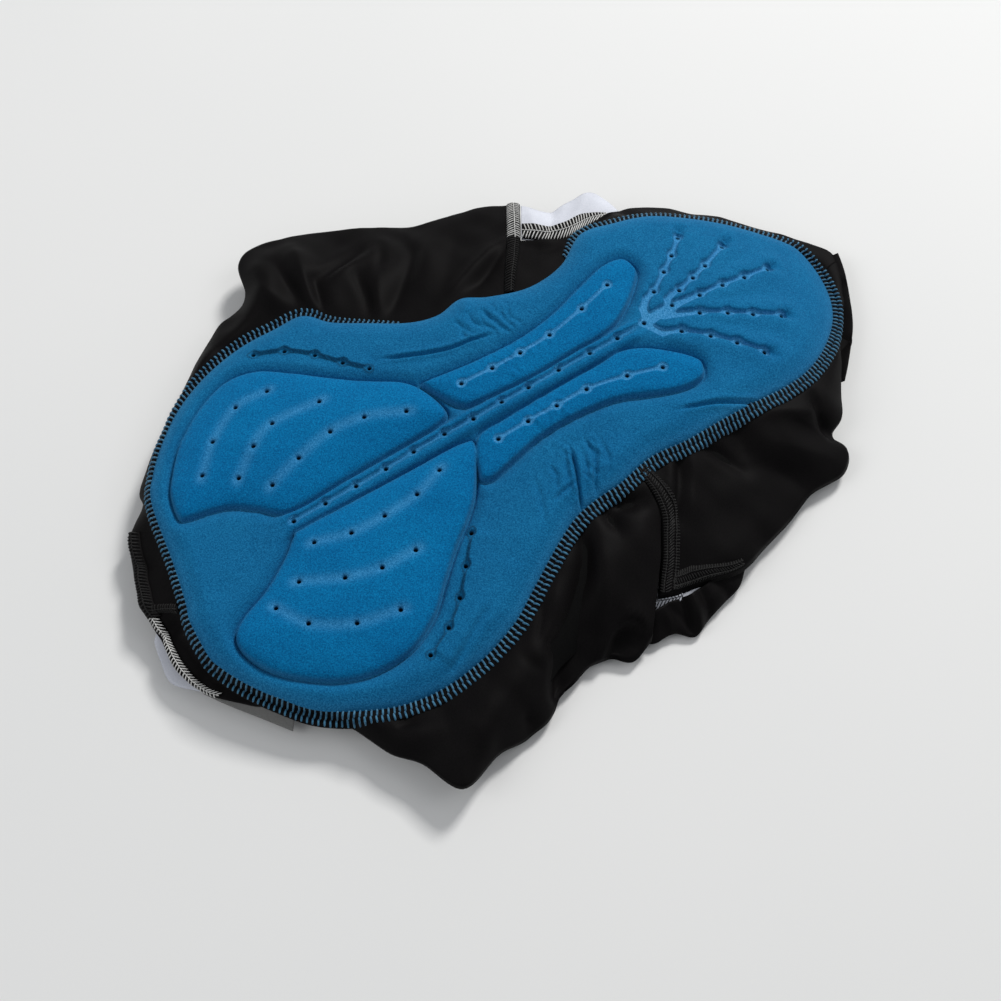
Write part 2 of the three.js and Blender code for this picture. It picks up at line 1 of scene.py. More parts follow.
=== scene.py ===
# Padded cycling tights, turned inside out and lying heaped on a table with the seat pad up.
# Tables and curves are in millimetres in the drawing plan (X right, Y away, Z up from the table);
# world() moves them to the model's origin and turns them into metres.
import math

import bpy
import numpy as np
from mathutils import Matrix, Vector
from mathutils.bvhtree import BVHTree
from mathutils.geometry import delaunay_2d_cdt

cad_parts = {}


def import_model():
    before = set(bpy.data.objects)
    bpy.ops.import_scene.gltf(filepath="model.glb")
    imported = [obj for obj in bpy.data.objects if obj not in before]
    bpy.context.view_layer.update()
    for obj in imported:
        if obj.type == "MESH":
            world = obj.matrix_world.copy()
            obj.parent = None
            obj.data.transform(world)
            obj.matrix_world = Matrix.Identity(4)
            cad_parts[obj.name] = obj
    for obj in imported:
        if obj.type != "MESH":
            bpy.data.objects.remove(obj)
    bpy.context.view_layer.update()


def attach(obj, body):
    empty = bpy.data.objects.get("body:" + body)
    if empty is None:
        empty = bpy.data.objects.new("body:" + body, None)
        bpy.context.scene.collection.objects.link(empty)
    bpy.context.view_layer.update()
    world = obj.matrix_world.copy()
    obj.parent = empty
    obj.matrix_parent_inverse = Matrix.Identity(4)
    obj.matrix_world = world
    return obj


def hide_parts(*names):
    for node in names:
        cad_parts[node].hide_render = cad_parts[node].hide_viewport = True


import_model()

ORIGIN = np.array([1.6, 22.85, 0.0])      # middle of the heap's footprint in the drawing plan
PAD_TURN, PAD_X, PAD_Y, PAD_HEIGHT = 31.0428, 0.45, 48.25, 42.0
PAD_THICK = 7.5
TUCK = 9.0
CLOTH = 1.0                               # wall of the knit
BAND = 7.0                                # width of the pad's stitched border
PITCH = 2.8                               # one stitch along that border
HOLE = 1.25                               # radius of a vent hole

DOME = [  # power of U, power of V, millimetres, with U = u/150 and V = v/150
    (1, 0, 12.35), (0, 1, 2.95), (2, 0, -5.92), (1, 1, -0.75), (0, 2, -9.68), (3, 0, -9.26),
    (2, 1, -0.55), (1, 2, -1.29), (4, 0, -1.25), (0, 4, -0.37), (2, 2, -1.01),
]
# the pad's outline: u, left edge, right edge
PAD = [
    (-197.5, -21.3, -42.3), (-195, -11.3, -50.7), (-191, 12.2, -59.0), (-186, 49.6, -67.1), (-178, 65.4, -77.9),
    (-165, 81.3, -92.6), (-148, 96.2, -103.6), (-126, 107.6, -113.2), (-102, 113.5, -116.5), (-80, 113.5, -114.0),
    (-67, 113.6, -110.5), (-60, 109.7, -108.0), (-52, 99.2, -104.5), (-36, 87.4, -94.8), (-16, 73.8, -83.1),
    (0, 68.8, -75.4), (16, 71.0, -72.3), (30, 63.4, -71.5), (52, 56.5, -67.3), (75, 59.7, -68.7), (97, 73.3, -67.9),
    (118, 71.3, -67.5), (140, 66.8, -67.2), (160, 56.6, -63.5), (180, 44.1, -54.0), (197, 31.0, -40.6),
    (208, 21.7, -25.2), (214, 12.8, -5.9),
]
# outlines of the four raised cushions, u v
SEAT_L = [(-177.6, 32.1), (-176.5, 43), (-172.2, 53.6), (-158.3, 72.3), (-137.7, 87.5), (-119.7, 94.1), (-102.4, 90.6),
          (-87.1, 79.2), (-73.1, 66.8), (-58.6, 54.4), (-39.1, 40.1), (-31.3, 28.6), (-27.6, 12), (-34, 6.2), (-59.3, 5.5),
          (-89.7, 5.2), (-126, 4.6), (-140.3, 15.1), (-149.6, 22.1), (-160.4, 26), (-174.2, 28.6)]
SEAT_R = [(-131.5, -8.4), (-140.9, -16.7), (-156.7, -27.3), (-172.7, -34.4), (-181.4, -41.7), (-181.8, -52.3),
          (-175.3, -65.5), (-162.9, -77.9), (-146.3, -88.8), (-127.9, -94.3), (-108.3, -93.1), (-89.6, -83.9),
          (-75.7, -71.1), (-61.8, -58.4), (-49.5, -48.8), (-37.9, -37.3), (-24.5, -15), (-29.9, -9.4), (-54.9, -8.3),
          (-90.5, -7.2), (-126, -6.6)]
MID_L = [(-30.7, 32.2), (-26.4, 33), (-.4, 29.1), (26.8, 28), (50.7, 31.3), (74.6, 39.2), (92.7, 44.6), (104.8, 43.5),
         (108.2, 35.9), (105.6, 28.5), (89.8, 14.7), (72.2, 6), (48, 4.4), (19.2, 3.6), (-12.6, 6.5), (-19, 9.3), (-23.2, 14.9)]
MID_R = [(-21.9, -11.3), (-2.9, -9.7), (25.7, -8.9), (54, -8.7), (69.5, -7.8), (83.3, -13), (98.2, -25), (105.4, -33.9),
         (104.2, -40.4), (99.5, -44.2), (88.8, -44.6), (75.9, -41.2), (53.2, -32.3), (27.1, -28.8), (6.2, -29.3),
         (-11.5, -33), (-25.6, -36), (-31.3, -34.4), (-31.6, -28.8)]
# vent holes in rows, u v
CHANNEL = [(-126.9, -.9), (-108, -.7), (-89.7, -.8), (-71.5, -.6), (-54.2, .1), (-35.3, 0), (-17.9, -.8), (-.1, -.5),
           (16.8, -.5), (36, -.2), (55.6, -.6), (73.5, -.5), (91.9, .7), (112.1, 3)]
FAN = {
    "a": [(108.2, 15.3), (121.1, 24.3), (131.8, 32.2), (143, 41.8)],
    "b": [(121.5, 9.6), (133.7, 13.5), (145.2, 17.8), (163.4, 25.9)],
    "c": [(130.1, 1.8), (146.2, 2), (161.9, 1.9), (179.3, 2.1)],
    "d": [(123, -8.4), (137.5, -15.3), (150.4, -22), (165.8, -29.2)],
    "e": [(107, -13.9), (119.7, -23.8), (130.4, -34.2), (141.1, -45.7)],
}
SEAT_ROWS = [
    [(-46.7, 20.6), (-67.6, 29.3), (-87.1, 31.5), (-108.4, 27.1), (-127.3, 21.1)],
    [(-83.3, 51.3), (-111, 52.6), (-125.7, 45.7), (-140.6, 33.9)],
    [(-104.1, 73.1), (-123.2, 72.8), (-142.9, 60.3), (-156.4, 45)],
    [(-48.8, -18.2), (-65.7, -24.3), (-85.9, -25.8), (-105.1, -24.9), (-123.8, -19)],
    [(-81.5, -50.5), (-100.9, -50.2), (-119.7, -45.1), (-140.6, -34.2)],
    [(-103.6, -73.7), (-126, -69), (-146.9, -56.7), (-157.1, -40.5)],
]
MID_ROWS = [
    [(87, 30.7), (66.3, 24.5), (42.4, 19.6), (23.1, 18.6), (5.6, 18.9), (-13.1, 19.9)],
    [(84, -29.1), (64.5, -23.8), (41.5, -19.3), (22.8, -19.2), (5.3, -18.7), (-13.3, -19.1)],
]
SLITS = [  # the pierced slits in the two side bolsters
    [(-99.3, 101), (-83.7, 93.4), (-70.7, 81.5), (-60.2, 68.3), (-49.8, 56.6)],
    [(-51.3, -55.4), (-62.9, -69.3), (-74, -82), (-86.7, -92.5), (-101.8, -100.3)],
]
LINES = [  # creases in the pad's face: width, depth, points u v
    (0.85, 2.2, [(-45.4, 60.2), (-24.7, 49.6), (-7.5, 43), (7.8, 40.3), (19.5, 36.8)]),
    (0.9, 2.0, [(74, -53), (93.8, -58.3), (103.3, -61.5), (127.1, -70.9)]),
    (1.6, 1.2, [(-60.2, -91.8), (-80.7, -103.4), (-99.5, -113.4)]),
    (1.2, 0.8, [(13.2, 59.1), (11.9, 50.4), (15.6, 42.5)]), (1.2, 1.1, [(20.1, 56.8), (21.7, 44.7), (26.3, 31)]),
    (1.0, 0.6, [(31, 53), (27, 44), (29, 34)]), (1.3, 0.6, [(3, 58), (5, 50), (2, 43)]), (0.9, 0.6, [(18.5, 52), (16.2, 46), (20.2, 37.5)]),
    (0.9, 0.5, [(34.4, 50), (30.8, 42), (35, 34)]), (0.9, 0.5, [(9.3, 52), (7, 47), (9.2, 42)]), (1.0, 0.4, [(24, 60), (27, 52), (25, 46)]),
    (0.9, 2.3, [(17.5, -40), (12.7, -54.2), (9.5, -61.5), (3.5, -76)]), (1.1, 1.4, [(24.6, -40), (25.2, -52.6), (17.7, -65.8), (14, -73)]),
    (1.0, 1.2, [(10, -60.5), (-1.2, -62.4), (-6.5, -64.5)]), (1.0, 0.8, [(20, -48), (18.5, -56), (14, -62)]),
    (1.2, 0.7, [(32, -46), (31, -57), (25, -68)]), (1.1, 0.7, [(3, -44), (1, -54), (-3, -60)]), (1.4, 0.6, [(-8, -46), (-12, -60), (-18, -75)]),
    (0.9, 0.6, [(14.2, -42), (9.8, -49), (6.5, -57)]), (0.9, 0.6, [(29.4, -43), (27.6, -51), (24.5, -58)]),
]
# sections of the cloth panels: distance along the pad's edge, middle of the section, outer fold
BACK_LEFT = [
    (575, -190.5, -3, 20, -193, 1, 14), (587, -190, 8, 21, -195, 10, 14), (610, -186, 32, 23, -188, 38, 16),
    (647, -173, 67, 25, -175, 77, 17), (669, -161, 90, 27, -163, 107, 18), (689, -148, 103, 28, -154, 117, 19),
    (703, -140, 116, 30, -148, 125, 20), (717, -134, 126, 32, -147, 135, 20), (727, -130, 136, 33, -152, 153, 20),
    (734, -120, 141, 33, -143, 166, 20), (745, -104, 142, 32, -118, 174, 20), (759, -86, 141, 31, -94, 178, 19),
    (775, -68, 143, 31, -72, 180, 19), (791, -51, 145, 31, -52, 181, 19), (808, -32, 149, 32, -32, 187, 20),
    (828, -13, 155, 33, -12, 193, 21), (847, 3, 156, 35, 3, 193, 23), (853, 11.4, 157, 35, 11.4, 192.5, 24),
]
FRONT_LEFT = [
    (852.2, 9.6, 146, 36.2, 9.4, 160.5, 34.5), (866, 23, 150, 37, 24, 159, 35), (880, 33, 153, 37, 36, 160, 34.5),
    (893, 42, 160, 36, 46, 167, 33), (906, 51, 168, 35, 55, 174, 32), (919, 59, 176, 31, 63, 183, 28),
    (932, 68, 184, 27, 72, 191, 22), (955, 88, 188, 25, 89, 194, 20), (980, 112.2, 187.1, 22, 113.1, 193.1, 17),
    (1003, 134.5, 185.3, 18.5, 135.1, 191.4, 13), (1024, 155, 180.7, 14, 157.4, 186.3, 9.5), (1041, 172.4, 175.6, 11, 176.2, 179.7, 8.5),
    (1057, 186.9, 165.1, 10.5, 194.2, 170.9, 9.5), (1069.5, 193.7, 157.6, 11, 199.1, 161.9, 10),
]
FRONT_RIGHT = [
    (2.6, 193.8, 158, 11, 199.2, 162.3, 10), (12, 196.2, 148.7, 11.5, 200.4, 152.3, 10.5), (22, 197, 135.4, 12.5, 199.9, 137.8, 11),
    (37, 195.1, 118.2, 15.5, 198.2, 120.2, 12.5), (54, 191.2, 98.1, 18.5, 194.1, 99.9, 13.5), (72, 185.6, 78.5, 21.5, 192.3, 76.4, 13),
    (91, 177, 57, 25, 190, 56, 14), (108, 168, 47, 26, 184, 45, 13), (123, 162, 43, 25, 191, 35, 10),
    (140, 151, 33, 24, 186, 22, 9), (155, 136, 24, 25, 170, 12, 9), (166, 125, 12, 26, 156, -5, 9),
    (175, 115, 5, 27, 140, -21, 10), (182, 104, 1, 28, 127, -35, 12), (192, 97, -5, 29, 107, -43, 13),
    (196, 93.5, -8, 29.5, 93, -49, 14), (202, 84.5, -15, 30, 82.5, -52, 15),
]
BACK_RIGHT = [
    (202.5, 84.1, -16, 30, 78.6, -72, 11), (214, 69, -31, 31, 69, -83, 8), (227, 56, -47, 29, 56, -83, 7),
    (241, 47, -56, 27, 47, -86, 7), (256, 37, -66, 26, 38, -97, 7), (271, 28, -77, 25, 31, -105, 7),
    (287, 20, -89, 25, 24, -117, 8), (306, 11, -103, 25, 14, -126, 9), (326, 0, -116, 25, -1, -136, 12),
    (342, -16, -126, 25, -18, -154, 19), (361, -31, -127, 24, -38, -142, 17), (375, -49, -127, 22, -55, -136, 14),
    (392, -65, -122, 20, -73, -124, 13), (409, -80, -119, 19, -84, -120, 13), (424, -94, -115.5, 16, -95.6, -115.5, 13),
]
REAR = [
    (424.5, -95, -115.3, 16, -96.2, -115.3, 13), (439, -110, -113, 15, -112, -114, 11), (455, -126.5, -107, 15, -130, -110, 11),
    (470, -145, -100.5, 14, -151.2, -103.6, 11), (482, -155, -91.5, 15, -163.6, -94, 12), (493, -163, -80, 16, -173, -80, 13),
    (506, -170, -67, 18, -181, -68, 13), (522, -176, -55, 19, -189, -54, 13), (540, -183, -36, 19, -195, -35, 12),
    (556, -187, -21, 20, -198, -20, 12), (568, -190, -12, 20, -195.6, -11, 13), (577, -190, -1, 19.3, -192.8, 2, 12.8),
]
# pieces sewn on beyond a panel: sewn edge, middle, outer edge
INSERT_LEFT = [
    (12, 161, 34.2, 12, 177, 32, 12, 191, 25), (24, 159.5, 34, 25, 176, 32, 26, 188, 25), (36, 160.5, 33.5, 38, 180, 31, 40, 195, 24),
    (46, 167.5, 32, 49, 187, 29, 53, 202, 24), (55, 174.5, 31, 58, 187, 28, 63, 197, 23), (62, 182, 27, 65, 186, 25, 70, 190, 22),
]
INSERT_RIGHT = [
    (81, -49.7, 12.5, 79.8, -55.8, 11, 78.6, -61.8, 9), (89.9, -50.1, 12.2, 88.8, -53.5, 10.8, 88.2, -57.9, 9),
    (98, -47.1, 11.8, 97.9, -50.6, 10.5, 98.4, -53.9, 9), (106.1, -44, 11.2, 106.7, -45.8, 10, 107.8, -48.1, 8.6),
]
INSERT_BACK = [
    (-143.2, -100.9, 8.6, -144.3, -101.8, 8, -145.9, -103.1, 7), (-152.3, -96.2, 8.8, -154.2, -99.2, 8.2, -156.2, -101.7, 7),
    (-161.6, -89.3, 9, -165.4, -93.9, 8.3, -168.9, -97.7, 7), (-170.7, -79.7, 9.5, -173.2, -82.6, 8.5, -175.8, -85.3, 7),
    (-178.4, -70.9, 9.5, -179.4, -73.2, 8.5, -180, -75.4, 7),
]
LEG_RIGHT = [
    (122.7, -32.9, 8, 127.6, -32.5, 7, 131.3, -31.1, 5), (115.9, -38.7, 12, 121.9, -42, 9, 127.1, -43.2, 5),
    (109, -44.8, 13, 114.8, -49.8, 10, 118, -52.9, 5), (102.9, -49, 13.5, 106.4, -58.3, 10, 108.9, -62.8, 4.5),
    (95.9, -52.9, 13.5, 98.9, -63.1, 9.5, 101.7, -71.1, 4.2), (87.8, -56.3, 13.5, 88.5, -63.5, 9, 90.8, -69.4, 4.2),
    (79.3, -61.3, 13.5, 81.1, -67.5, 8, 81.6, -74.4, 4.2), (75.7, -62.1, 7, 76, -68.4, 6, 76.9, -74.9, 4),
]
FRONT_FOLD = [
    (186.4, 157.9, 6.5, 193.1, 164.8, 9, 200.1, 167.7, 11), (189.6, 148, 6.5, 195.9, 151.9, 9, 202.8, 154, 11),
    (190.2, 131.1, 6.5, 197, 134.3, 9, 203.7, 135, 11), (190.3, 115.2, 6.5, 196.9, 117, 9, 203.4, 117.1, 11),
    (187.3, 96.9, 6.5, 193.8, 98, 9, 199.6, 98.1, 11), (184.2, 82.6, 6, 189.4, 81.4, 8, 195.1, 80.8, 10),
]
CARE_LABEL = [
    (-102.7, -112.2, 12.5, -103.6, -116.8, 10.5, -105, -122.5, 5), (-118.2, -107, 12.5, -119.7, -111.6, 10.5, -122.2, -115.7, 5),
    (-133.3, -101.2, 12.5, -135.4, -105.7, 10, -137.8, -109.7, 6), (-146, -96.4, 12.5, -148.4, -100.1, 11, -151.7, -103.9, 8),
]
# folds of the cloth: three points x y, width, height (a trough is negative)
FOLDS = {
    "back_panel_left": [
        (-121, 160, -111, 133, -104, 115, 7, 5), (-130, 148, -120, 130, -113, 119, 5.5, -6), (-140, 143, -134, 128, -123, 121, 6, 3),
        (-81, 158, -94, 145, -106, 134, 3.5, -4), (-106, 134, -103, 124, -100, 115, 4, -6), (-74, 154, -89, 140, -97, 130, 5, 3),
        (-83, 139, -76, 123, -73, 109, 3.5, -4), (-67, 164, -70, 138, -68, 110, 6, 3), (-57, 167, -51, 150, -63, 109, 5, -5),
        (-69, 162, -69, 150, -70, 139, 3, -2.5), (2, 159, -14, 141, -32, 116, 4.5, 4), (1, 152, -7, 138, -15, 125, 4.2, -6),
        (-41, 168, -42, 147, -43, 121, 12, 2), (-25, 171, -28, 152, -31, 131, 10, -1.5), (-90, 169, -99, 159, -105, 148, 8, -2.5),
        (-160, 95, -152, 84, -146, 72, 5, -2), (-182, 40, -176, 30, -170, 22, 5, -2), (-172, 70, -166, 60, -160, 50, 6, 1.8),
    ],
    "front_panel_left": [(15, 154, 25, 152, 36, 154, 3.5, -2), (70, 187, 80, 183, 92, 181, 4, -2), (128, 188, 140, 183, 150, 172, 5, -2)],
    "front_panel_right": [
        (96, 24, 95, 8, 93, -14, 4, -4.5), (90, 25, 91, 9, 90, -7, 4, 2.5), (102, 22, 101, 3, 99, -21, 6, 2),
        (104, 27, 117, 23, 131, 16, 4.5, -4), (123, 40, 129, 34, 135, 21, 7, -3), (143, 49, 159, 50, 174, 51, 5, 2.5),
        (172, 61, 177, 49, 183, 41, 3.5, -4), (184, 29, 163, 31, 147, 33, 9, 3), (168, 9, 157, 17, 144, 20, 7, -2.5),
        (107, -42, 124, -25, 144, -5, 10, 1.5), (194, 122, 187, 118, 181, 108, 5, -1.8),
    ],
    "back_panel_right": [
        (56, -6, 64, -8, 73, -7, 4.5, -6), (52, -2, 61, -2, 74, 2, 4, 2.5), (52, -11, 57, -16, 62, -23, 3.5, -5),
        (42, -24, 44, -35, 43, -49, 4.5, -6.5), (43, -48, 39, -65, 36, -81, 6, -8), (37, -78, 33, -92, 30, -105, 5, -8),
        (52, -29, 54, -54, 50, -76, 11, 3.5), (30, -80, 30, -83, 31, -86, 6, -5), (22, -63, 21, -71, 19, -81, 2.2, -1.6),
        (31, -45, 28, -59, 26, -73, 8, 2.5), (11, -89, 17, -94, 24, -95, 3, -1.8), (50, -86, 57, -74, 65, -66, 4, 4),
        (66, -65, 72, -67, 75, -73, 4, 3), (58, -82, 63, -74, 72, -73, 6, -5), (73, -20, 72, -43, 71, -62, 7, 2),
        (-52, -126, -47, -123, -41, -121, 5, -2.5), (14, -117, 15, -120, 15, -123, 4, -2.5), (0, -95, -5, -112, -11, -132, 14, 2),
        (10, -106, 4, -119, 0, -129, 8, -1.8), (-30, -111, -26, -126, -22, -142, 9, -1.5),
    ],
    "rear_panel": [
        (-196, -30, -189, -36, -180, -40, 5, -2.5), (-190, -56, -182, -58, -174, -58, 5, 2), (-175, -76, -168, -72, -162, -68, 4, -2.5),
        (-150, -98, -147, -93, -143, -88, 4, -2), (-120, -111, -118, -107, -117, -103, 4, -1.5),
    ],
    "insert_left": [(30, 196, 30, 178, 27, 162, 4, -2), (50, 198, 46, 184, 40, 170, 4, 1.5), (16, 188, 18, 175, 20, 164, 4, 1.2)],
    "leg_right": [
        (92, -48, 96, -57, 100, -68, 2.6, -3.2), (82, -54, 92, -61, 102, -70, 2.8, -2.2), (103, -44, 108, -54, 112, -62, 3, -2.2),
        (112, -38, 118, -46, 124, -50, 3, -2), (98, -46, 102, -57, 105, -68, 3, 2), (86, -54, 88, -62, 90, -70, 3, 1.6),
    ],
    "front_fold": [(203, 148, 197, 146, 191, 144, 3, -1.5), (203, 108, 197, 106, 190, 104, 4, -1.5)],
}


# ---------- curves and surfaces ----------
def world(p):
    return (np.asarray(p, float) - ORIGIN) * 0.001


def cubic(a, b, c, d, t):
    return 0.5 * (2 * b + (c - a) * t + (2 * a - 5 * b + 4 * c - d) * t * t + (3 * b - a - 3 * c + d) * t * t * t)


def through(points, s):
    """An open smooth curve through points, s from 0 to the last index."""
    p = np.asarray(points, float)
    p = np.vstack([2 * p[0] - p[1], p, 2 * p[-1] - p[-2]])
    s = np.atleast_1d(np.asarray(s, float))
    i = np.clip(np.floor(s).astype(int), 0, len(p) - 4)
    t = (s - i)[:, None]
    return cubic(p[i], p[i + 1], p[i + 2], p[i + 3], t)


def closed(points, per):
    p = np.asarray(points, float)
    t = (np.arange(per) / per)[None, :, None]
    r = lambda k: np.roll(p, -k, 0)[:, None, :]
    return cubic(r(-1), r(0), r(1), r(2), t).reshape(-1, p.shape[1])


def even(line, step, loop=False):
    """Points about step apart along a line."""
    q = np.vstack([line, line[:1]]) if loop else np.asarray(line, float)
    at = np.concatenate([[0], np.cumsum(np.linalg.norm(np.diff(q, axis=0), axis=1))])
    n = max(2, int(round(at[-1] / step)))
    s = np.linspace(0, at[-1], n, endpoint=False) if loop else np.linspace(0, at[-1], n + 1)
    return np.stack([np.interp(s, at, q[:, k]) for k in range(q.shape[1])], 1)


def unit(v):
    return v / np.maximum(np.linalg.norm(v, axis=-1, keepdims=True), 1e-9)


CT, ST = math.cos(math.radians(PAD_TURN)), math.sin(math.radians(PAD_TURN))


def plan(u, v):
    return PAD_X + u * CT - v * ST, PAD_Y + u * ST + v * CT


def dome(u, v):
    return PAD_HEIGHT + sum(k * (u / 150) ** a * (v / 150) ** b for a, b, k in DOME)


EDGE = closed([(u, r) for u, _, r in PAD[::-1]] + [(u, l) for u, l, _ in PAD], 10)
EDGE_AT = np.concatenate([[0], np.cumsum(np.linalg.norm(np.roll(EDGE, -1, 0) - EDGE, axis=1))])


def edge_at(at):
    """The pad's edge at a distance from its front tip: u, v and the inward direction."""
    a = at % EDGE_AT[-1]
    n = len(EDGE)
    i = min(int(np.searchsorted(EDGE_AT, a, side="right")) - 1, n - 1)
    p, q = EDGE[i], EDGE[(i + 1) % n]
    t = (a - EDGE_AT[i]) / (EDGE_AT[i + 1] - EDGE_AT[i])
    along = EDGE[(i + 13) % n] - EDGE[(i - 12) % n]
    along /= np.linalg.norm(along)
    return p + (q - p) * t, np.array([along[1], -along[0]])


def distance(points, line, loop=False):
    """How far each plan point is from a line, and how far along it the nearest place lies, from 0 to 1."""
    p, q = np.asarray(points, np.float32), np.asarray(line, np.float32)
    a, b = (q, np.roll(q, -1, 0)) if loop else (q[:-1], q[1:])
    ax, ay, dx, dy = a[:, 0][None], a[:, 1][None], (b - a)[:, 0][None], (b - a)[:, 1][None]
    over = 1 / np.maximum(dx * dx + dy * dy, 1e-9)
    long = np.sqrt(dx * dx + dy * dy)[0]
    start = np.concatenate([[0], np.cumsum(long)])
    far, along = np.full(len(p), 1e9), np.zeros(len(p))
    for k in range(0, len(p), 4000):
        x, y = p[k:k + 4000, 0][:, None] - ax, p[k:k + 4000, 1][:, None] - ay
        t = np.clip((x * dx + y * dy) * over, 0, 1)
        x -= t * dx
        y -= t * dy
        d = x * x + y * y
        i = d.argmin(1)
        r = np.arange(len(i))
        far[k:k + 4000] = np.sqrt(d[r, i])
        along[k:k + 4000] = (start[i] + t[r, i] * long[i]) / start[-1]
    return far, along


def inside(points, loop):
    p, q = np.asarray(points, np.float32), np.asarray(loop, np.float32)
    r = np.roll(q, -1, 0)
    ax, ay, by = q[:, 0][None], q[:, 1][None], r[:, 1][None]
    rise = np.where(np.abs(by - ay) < 1e-9, 1e-9, by - ay)
    slope = (r[:, 0][None] - ax) / rise
    out = np.zeros(len(p), bool)
    for k in range(0, len(p), 4000):
        x, y = p[k:k + 4000, 0][:, None], p[k:k + 4000, 1][:, None]
        hit = ((ay > y) != (by > y)) & (x < ax + (y - ay) * slope)
        out[k:k + 4000] = (hit.sum(1) % 2).astype(bool)
    return out


def side_of(points, line):
    """Which side of an open line each point lies on: 1 to its left, -1 to its right."""
    a, b = line[:-1], line[1:]
    m = (a + b) / 2
    out = np.zeros(len(points))
    for k in range(0, len(points), 4000):
        p = points[k:k + 4000]
        i = ((p[:, None] - m[None]) ** 2).sum(2).argmin(1)
        t, w = b[i] - a[i], p - a[i]
        out[k:k + 4000] = np.sign(t[:, 0] * w[:, 1] - t[:, 1] * w[:, 0])
    return out


def signed(points, loop):
    """Distance to a closed outline, positive inside it."""
    d, _ = distance(points, loop, True)
    return np.where(inside(points, loop), d, -d)


def smooth(x, a, b):
    t = np.clip((x - a) / (b - a), 0, 1)
    return t * t * (3 - 2 * t)


RIPPLES = np.random.default_rng(11).uniform(-1, 1, (9, 6))


def ripple(x, y, size):
    """Low waves with no repeat, about -1 to 1, with crests about size apart."""
    out = 0
    for i, (a, b, c, d, e, f) in enumerate(RIPPLES):
        k = 2 * math.pi / (size * (0.7 + 0.09 * i))
        out = out + np.sin(k * (x * math.cos(3 * a) + y * math.sin(3 * a)) + 6 * b + 0.8 * np.sin(k * 0.6 * (x * math.sin(3 * c) - y * math.cos(3 * c)) + 6 * d))
    return out / 4.2


# ---------- making pieces ----------
def mesh_piece(name, points, faces, material, attributes=None, solid=0.0):
    me = bpy.data.meshes.new(name)
    me.from_pydata(world(points).tolist(), [], [list(map(int, f)) for f in faces])
    me.polygons.foreach_set("use_smooth", [True] * len(me.polygons))
    for key, values in (attributes or {}).items():
        a = me.attributes.new(key, "FLOAT", "POINT")
        a.data.foreach_set("value", np.asarray(values, np.float32))
    me.materials.append(material)
    me.update()
    o = bpy.data.objects.new(name, me)
    bpy.context.scene.collection.objects.link(o)
    if solid:
        m = o.modifiers.new("wall", "SOLIDIFY")
        m.thickness, m.offset, m.use_rim = solid * 0.001, -1.0, True
    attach(o, "root")
    return o


def grid_faces(n, m, flip=False):
    i, j = np.meshgrid(np.arange(n - 1), np.arange(m - 1), indexing="ij")
    a = (i * m + j).ravel()
    f = np.stack([a, a + m, a + m + 1, a + 1], 1)
    return f[:, ::-1] if flip else f


def upward(g):
    """Whether a grid's rows and sections turn so that its upper half faces up."""
    h = g[:, :max(2, (g.shape[1] + 1) // 2)]
    return np.cross(np.gradient(h, axis=0), np.gradient(h, axis=1))[..., 2].sum() > 0


def grid_normals(g):
    n = unit(np.cross(np.gradient(g, axis=0), np.gradient(g, axis=1)))
    return n if upward(g) else -n


def tubes(paths, radius, sides=6, taper=0.45):
    """Closed threads along many short paths of equal length: points and faces."""
    p = np.asarray(paths, float)
    n, k, _ = p.shape
    t = unit(np.gradient(p, axis=1))
    up = np.zeros_like(t)
    up[..., 2] = 1
    side = np.cross(t, up)
    short = np.linalg.norm(side, axis=2) < 0.2
    side[short] = np.cross(t[short], np.array([1.0, 0, 0]))
    side = unit(side)
    over = np.cross(side, t)
    r = np.full(k, radius, float)
    r[0] = r[-1] = radius * taper
    ang = np.arange(sides) * 2 * math.pi / sides
    ring = p[:, :, None] + r[None, :, None, None] * (np.cos(ang)[None, None, :, None] * side[:, :, None] + np.sin(ang)[None, None, :, None] * over[:, :, None])
    tip_a, tip_b = p[:, :1] - t[:, :1] * radius * 0.5, p[:, -1:] + t[:, -1:] * radius * 0.5
    each = k * sides + 2
    pts = np.concatenate([ring.reshape(n, k * sides, 3), tip_a, tip_b], 1).reshape(-1, 3)
    f = []
    for i in range(k - 1):
        for j in range(sides):
            a, b = i * sides + j, i * sides + (j + 1) % sides
            f.append((a, b, b + sides, a + sides))
    tri = [(k * sides, (j + 1) % sides, j, j) for j in range(sides)] + [(k * sides + 1, (k - 1) * sides + j, (k - 1) * sides + (j + 1) % sides, (k - 1) * sides + j) for j in range(sides)]
    quads = np.array(f)
    tris = np.array([t[:3] for t in tri])
    off = (np.arange(n) * each)[:, None, None]
    faces = [list(x[::-1]) for x in (quads[None] + off).reshape(-1, 4)] + [list(x[::-1]) for x in (tris[None] + off).reshape(-1, 3)]
    return pts, faces


# ---------- materials ----------
def shader(name, roughness, colour=None, sheen=0.0, sheen_rough=0.5, tint=(1, 1, 1), specular=0.5, alpha=1.0):
    m = bpy.data.materials.new(name)
    m.use_nodes = True
    nt = m.node_tree
    b = nt.nodes["Principled BSDF"]
    b.inputs["Roughness"].default_value = roughness
    b.inputs["Specular IOR Level"].default_value = specular
    b.inputs["Sheen Weight"].default_value = sheen
    b.inputs["Sheen Roughness"].default_value = sheen_rough
    b.inputs["Sheen Tint"].default_value = (*tint, 1)
    b.inputs["Alpha"].default_value = alpha
    if colour:
        b.inputs["Base Color"].default_value = (*colour, 1)
    return m, nt, b


def noise(nt, scale, detail=2.0, rough=0.5):
    c = nt.nodes.new("ShaderNodeTexCoord")
    n = nt.nodes.new("ShaderNodeTexNoise")
    n.inputs["Scale"].default_value = scale
    n.inputs["Detail"].default_value = detail
    n.inputs["Roughness"].default_value = rough
    nt.links.new(c.outputs["Object"], n.inputs["Vector"])
    return n.outputs["Fac"]


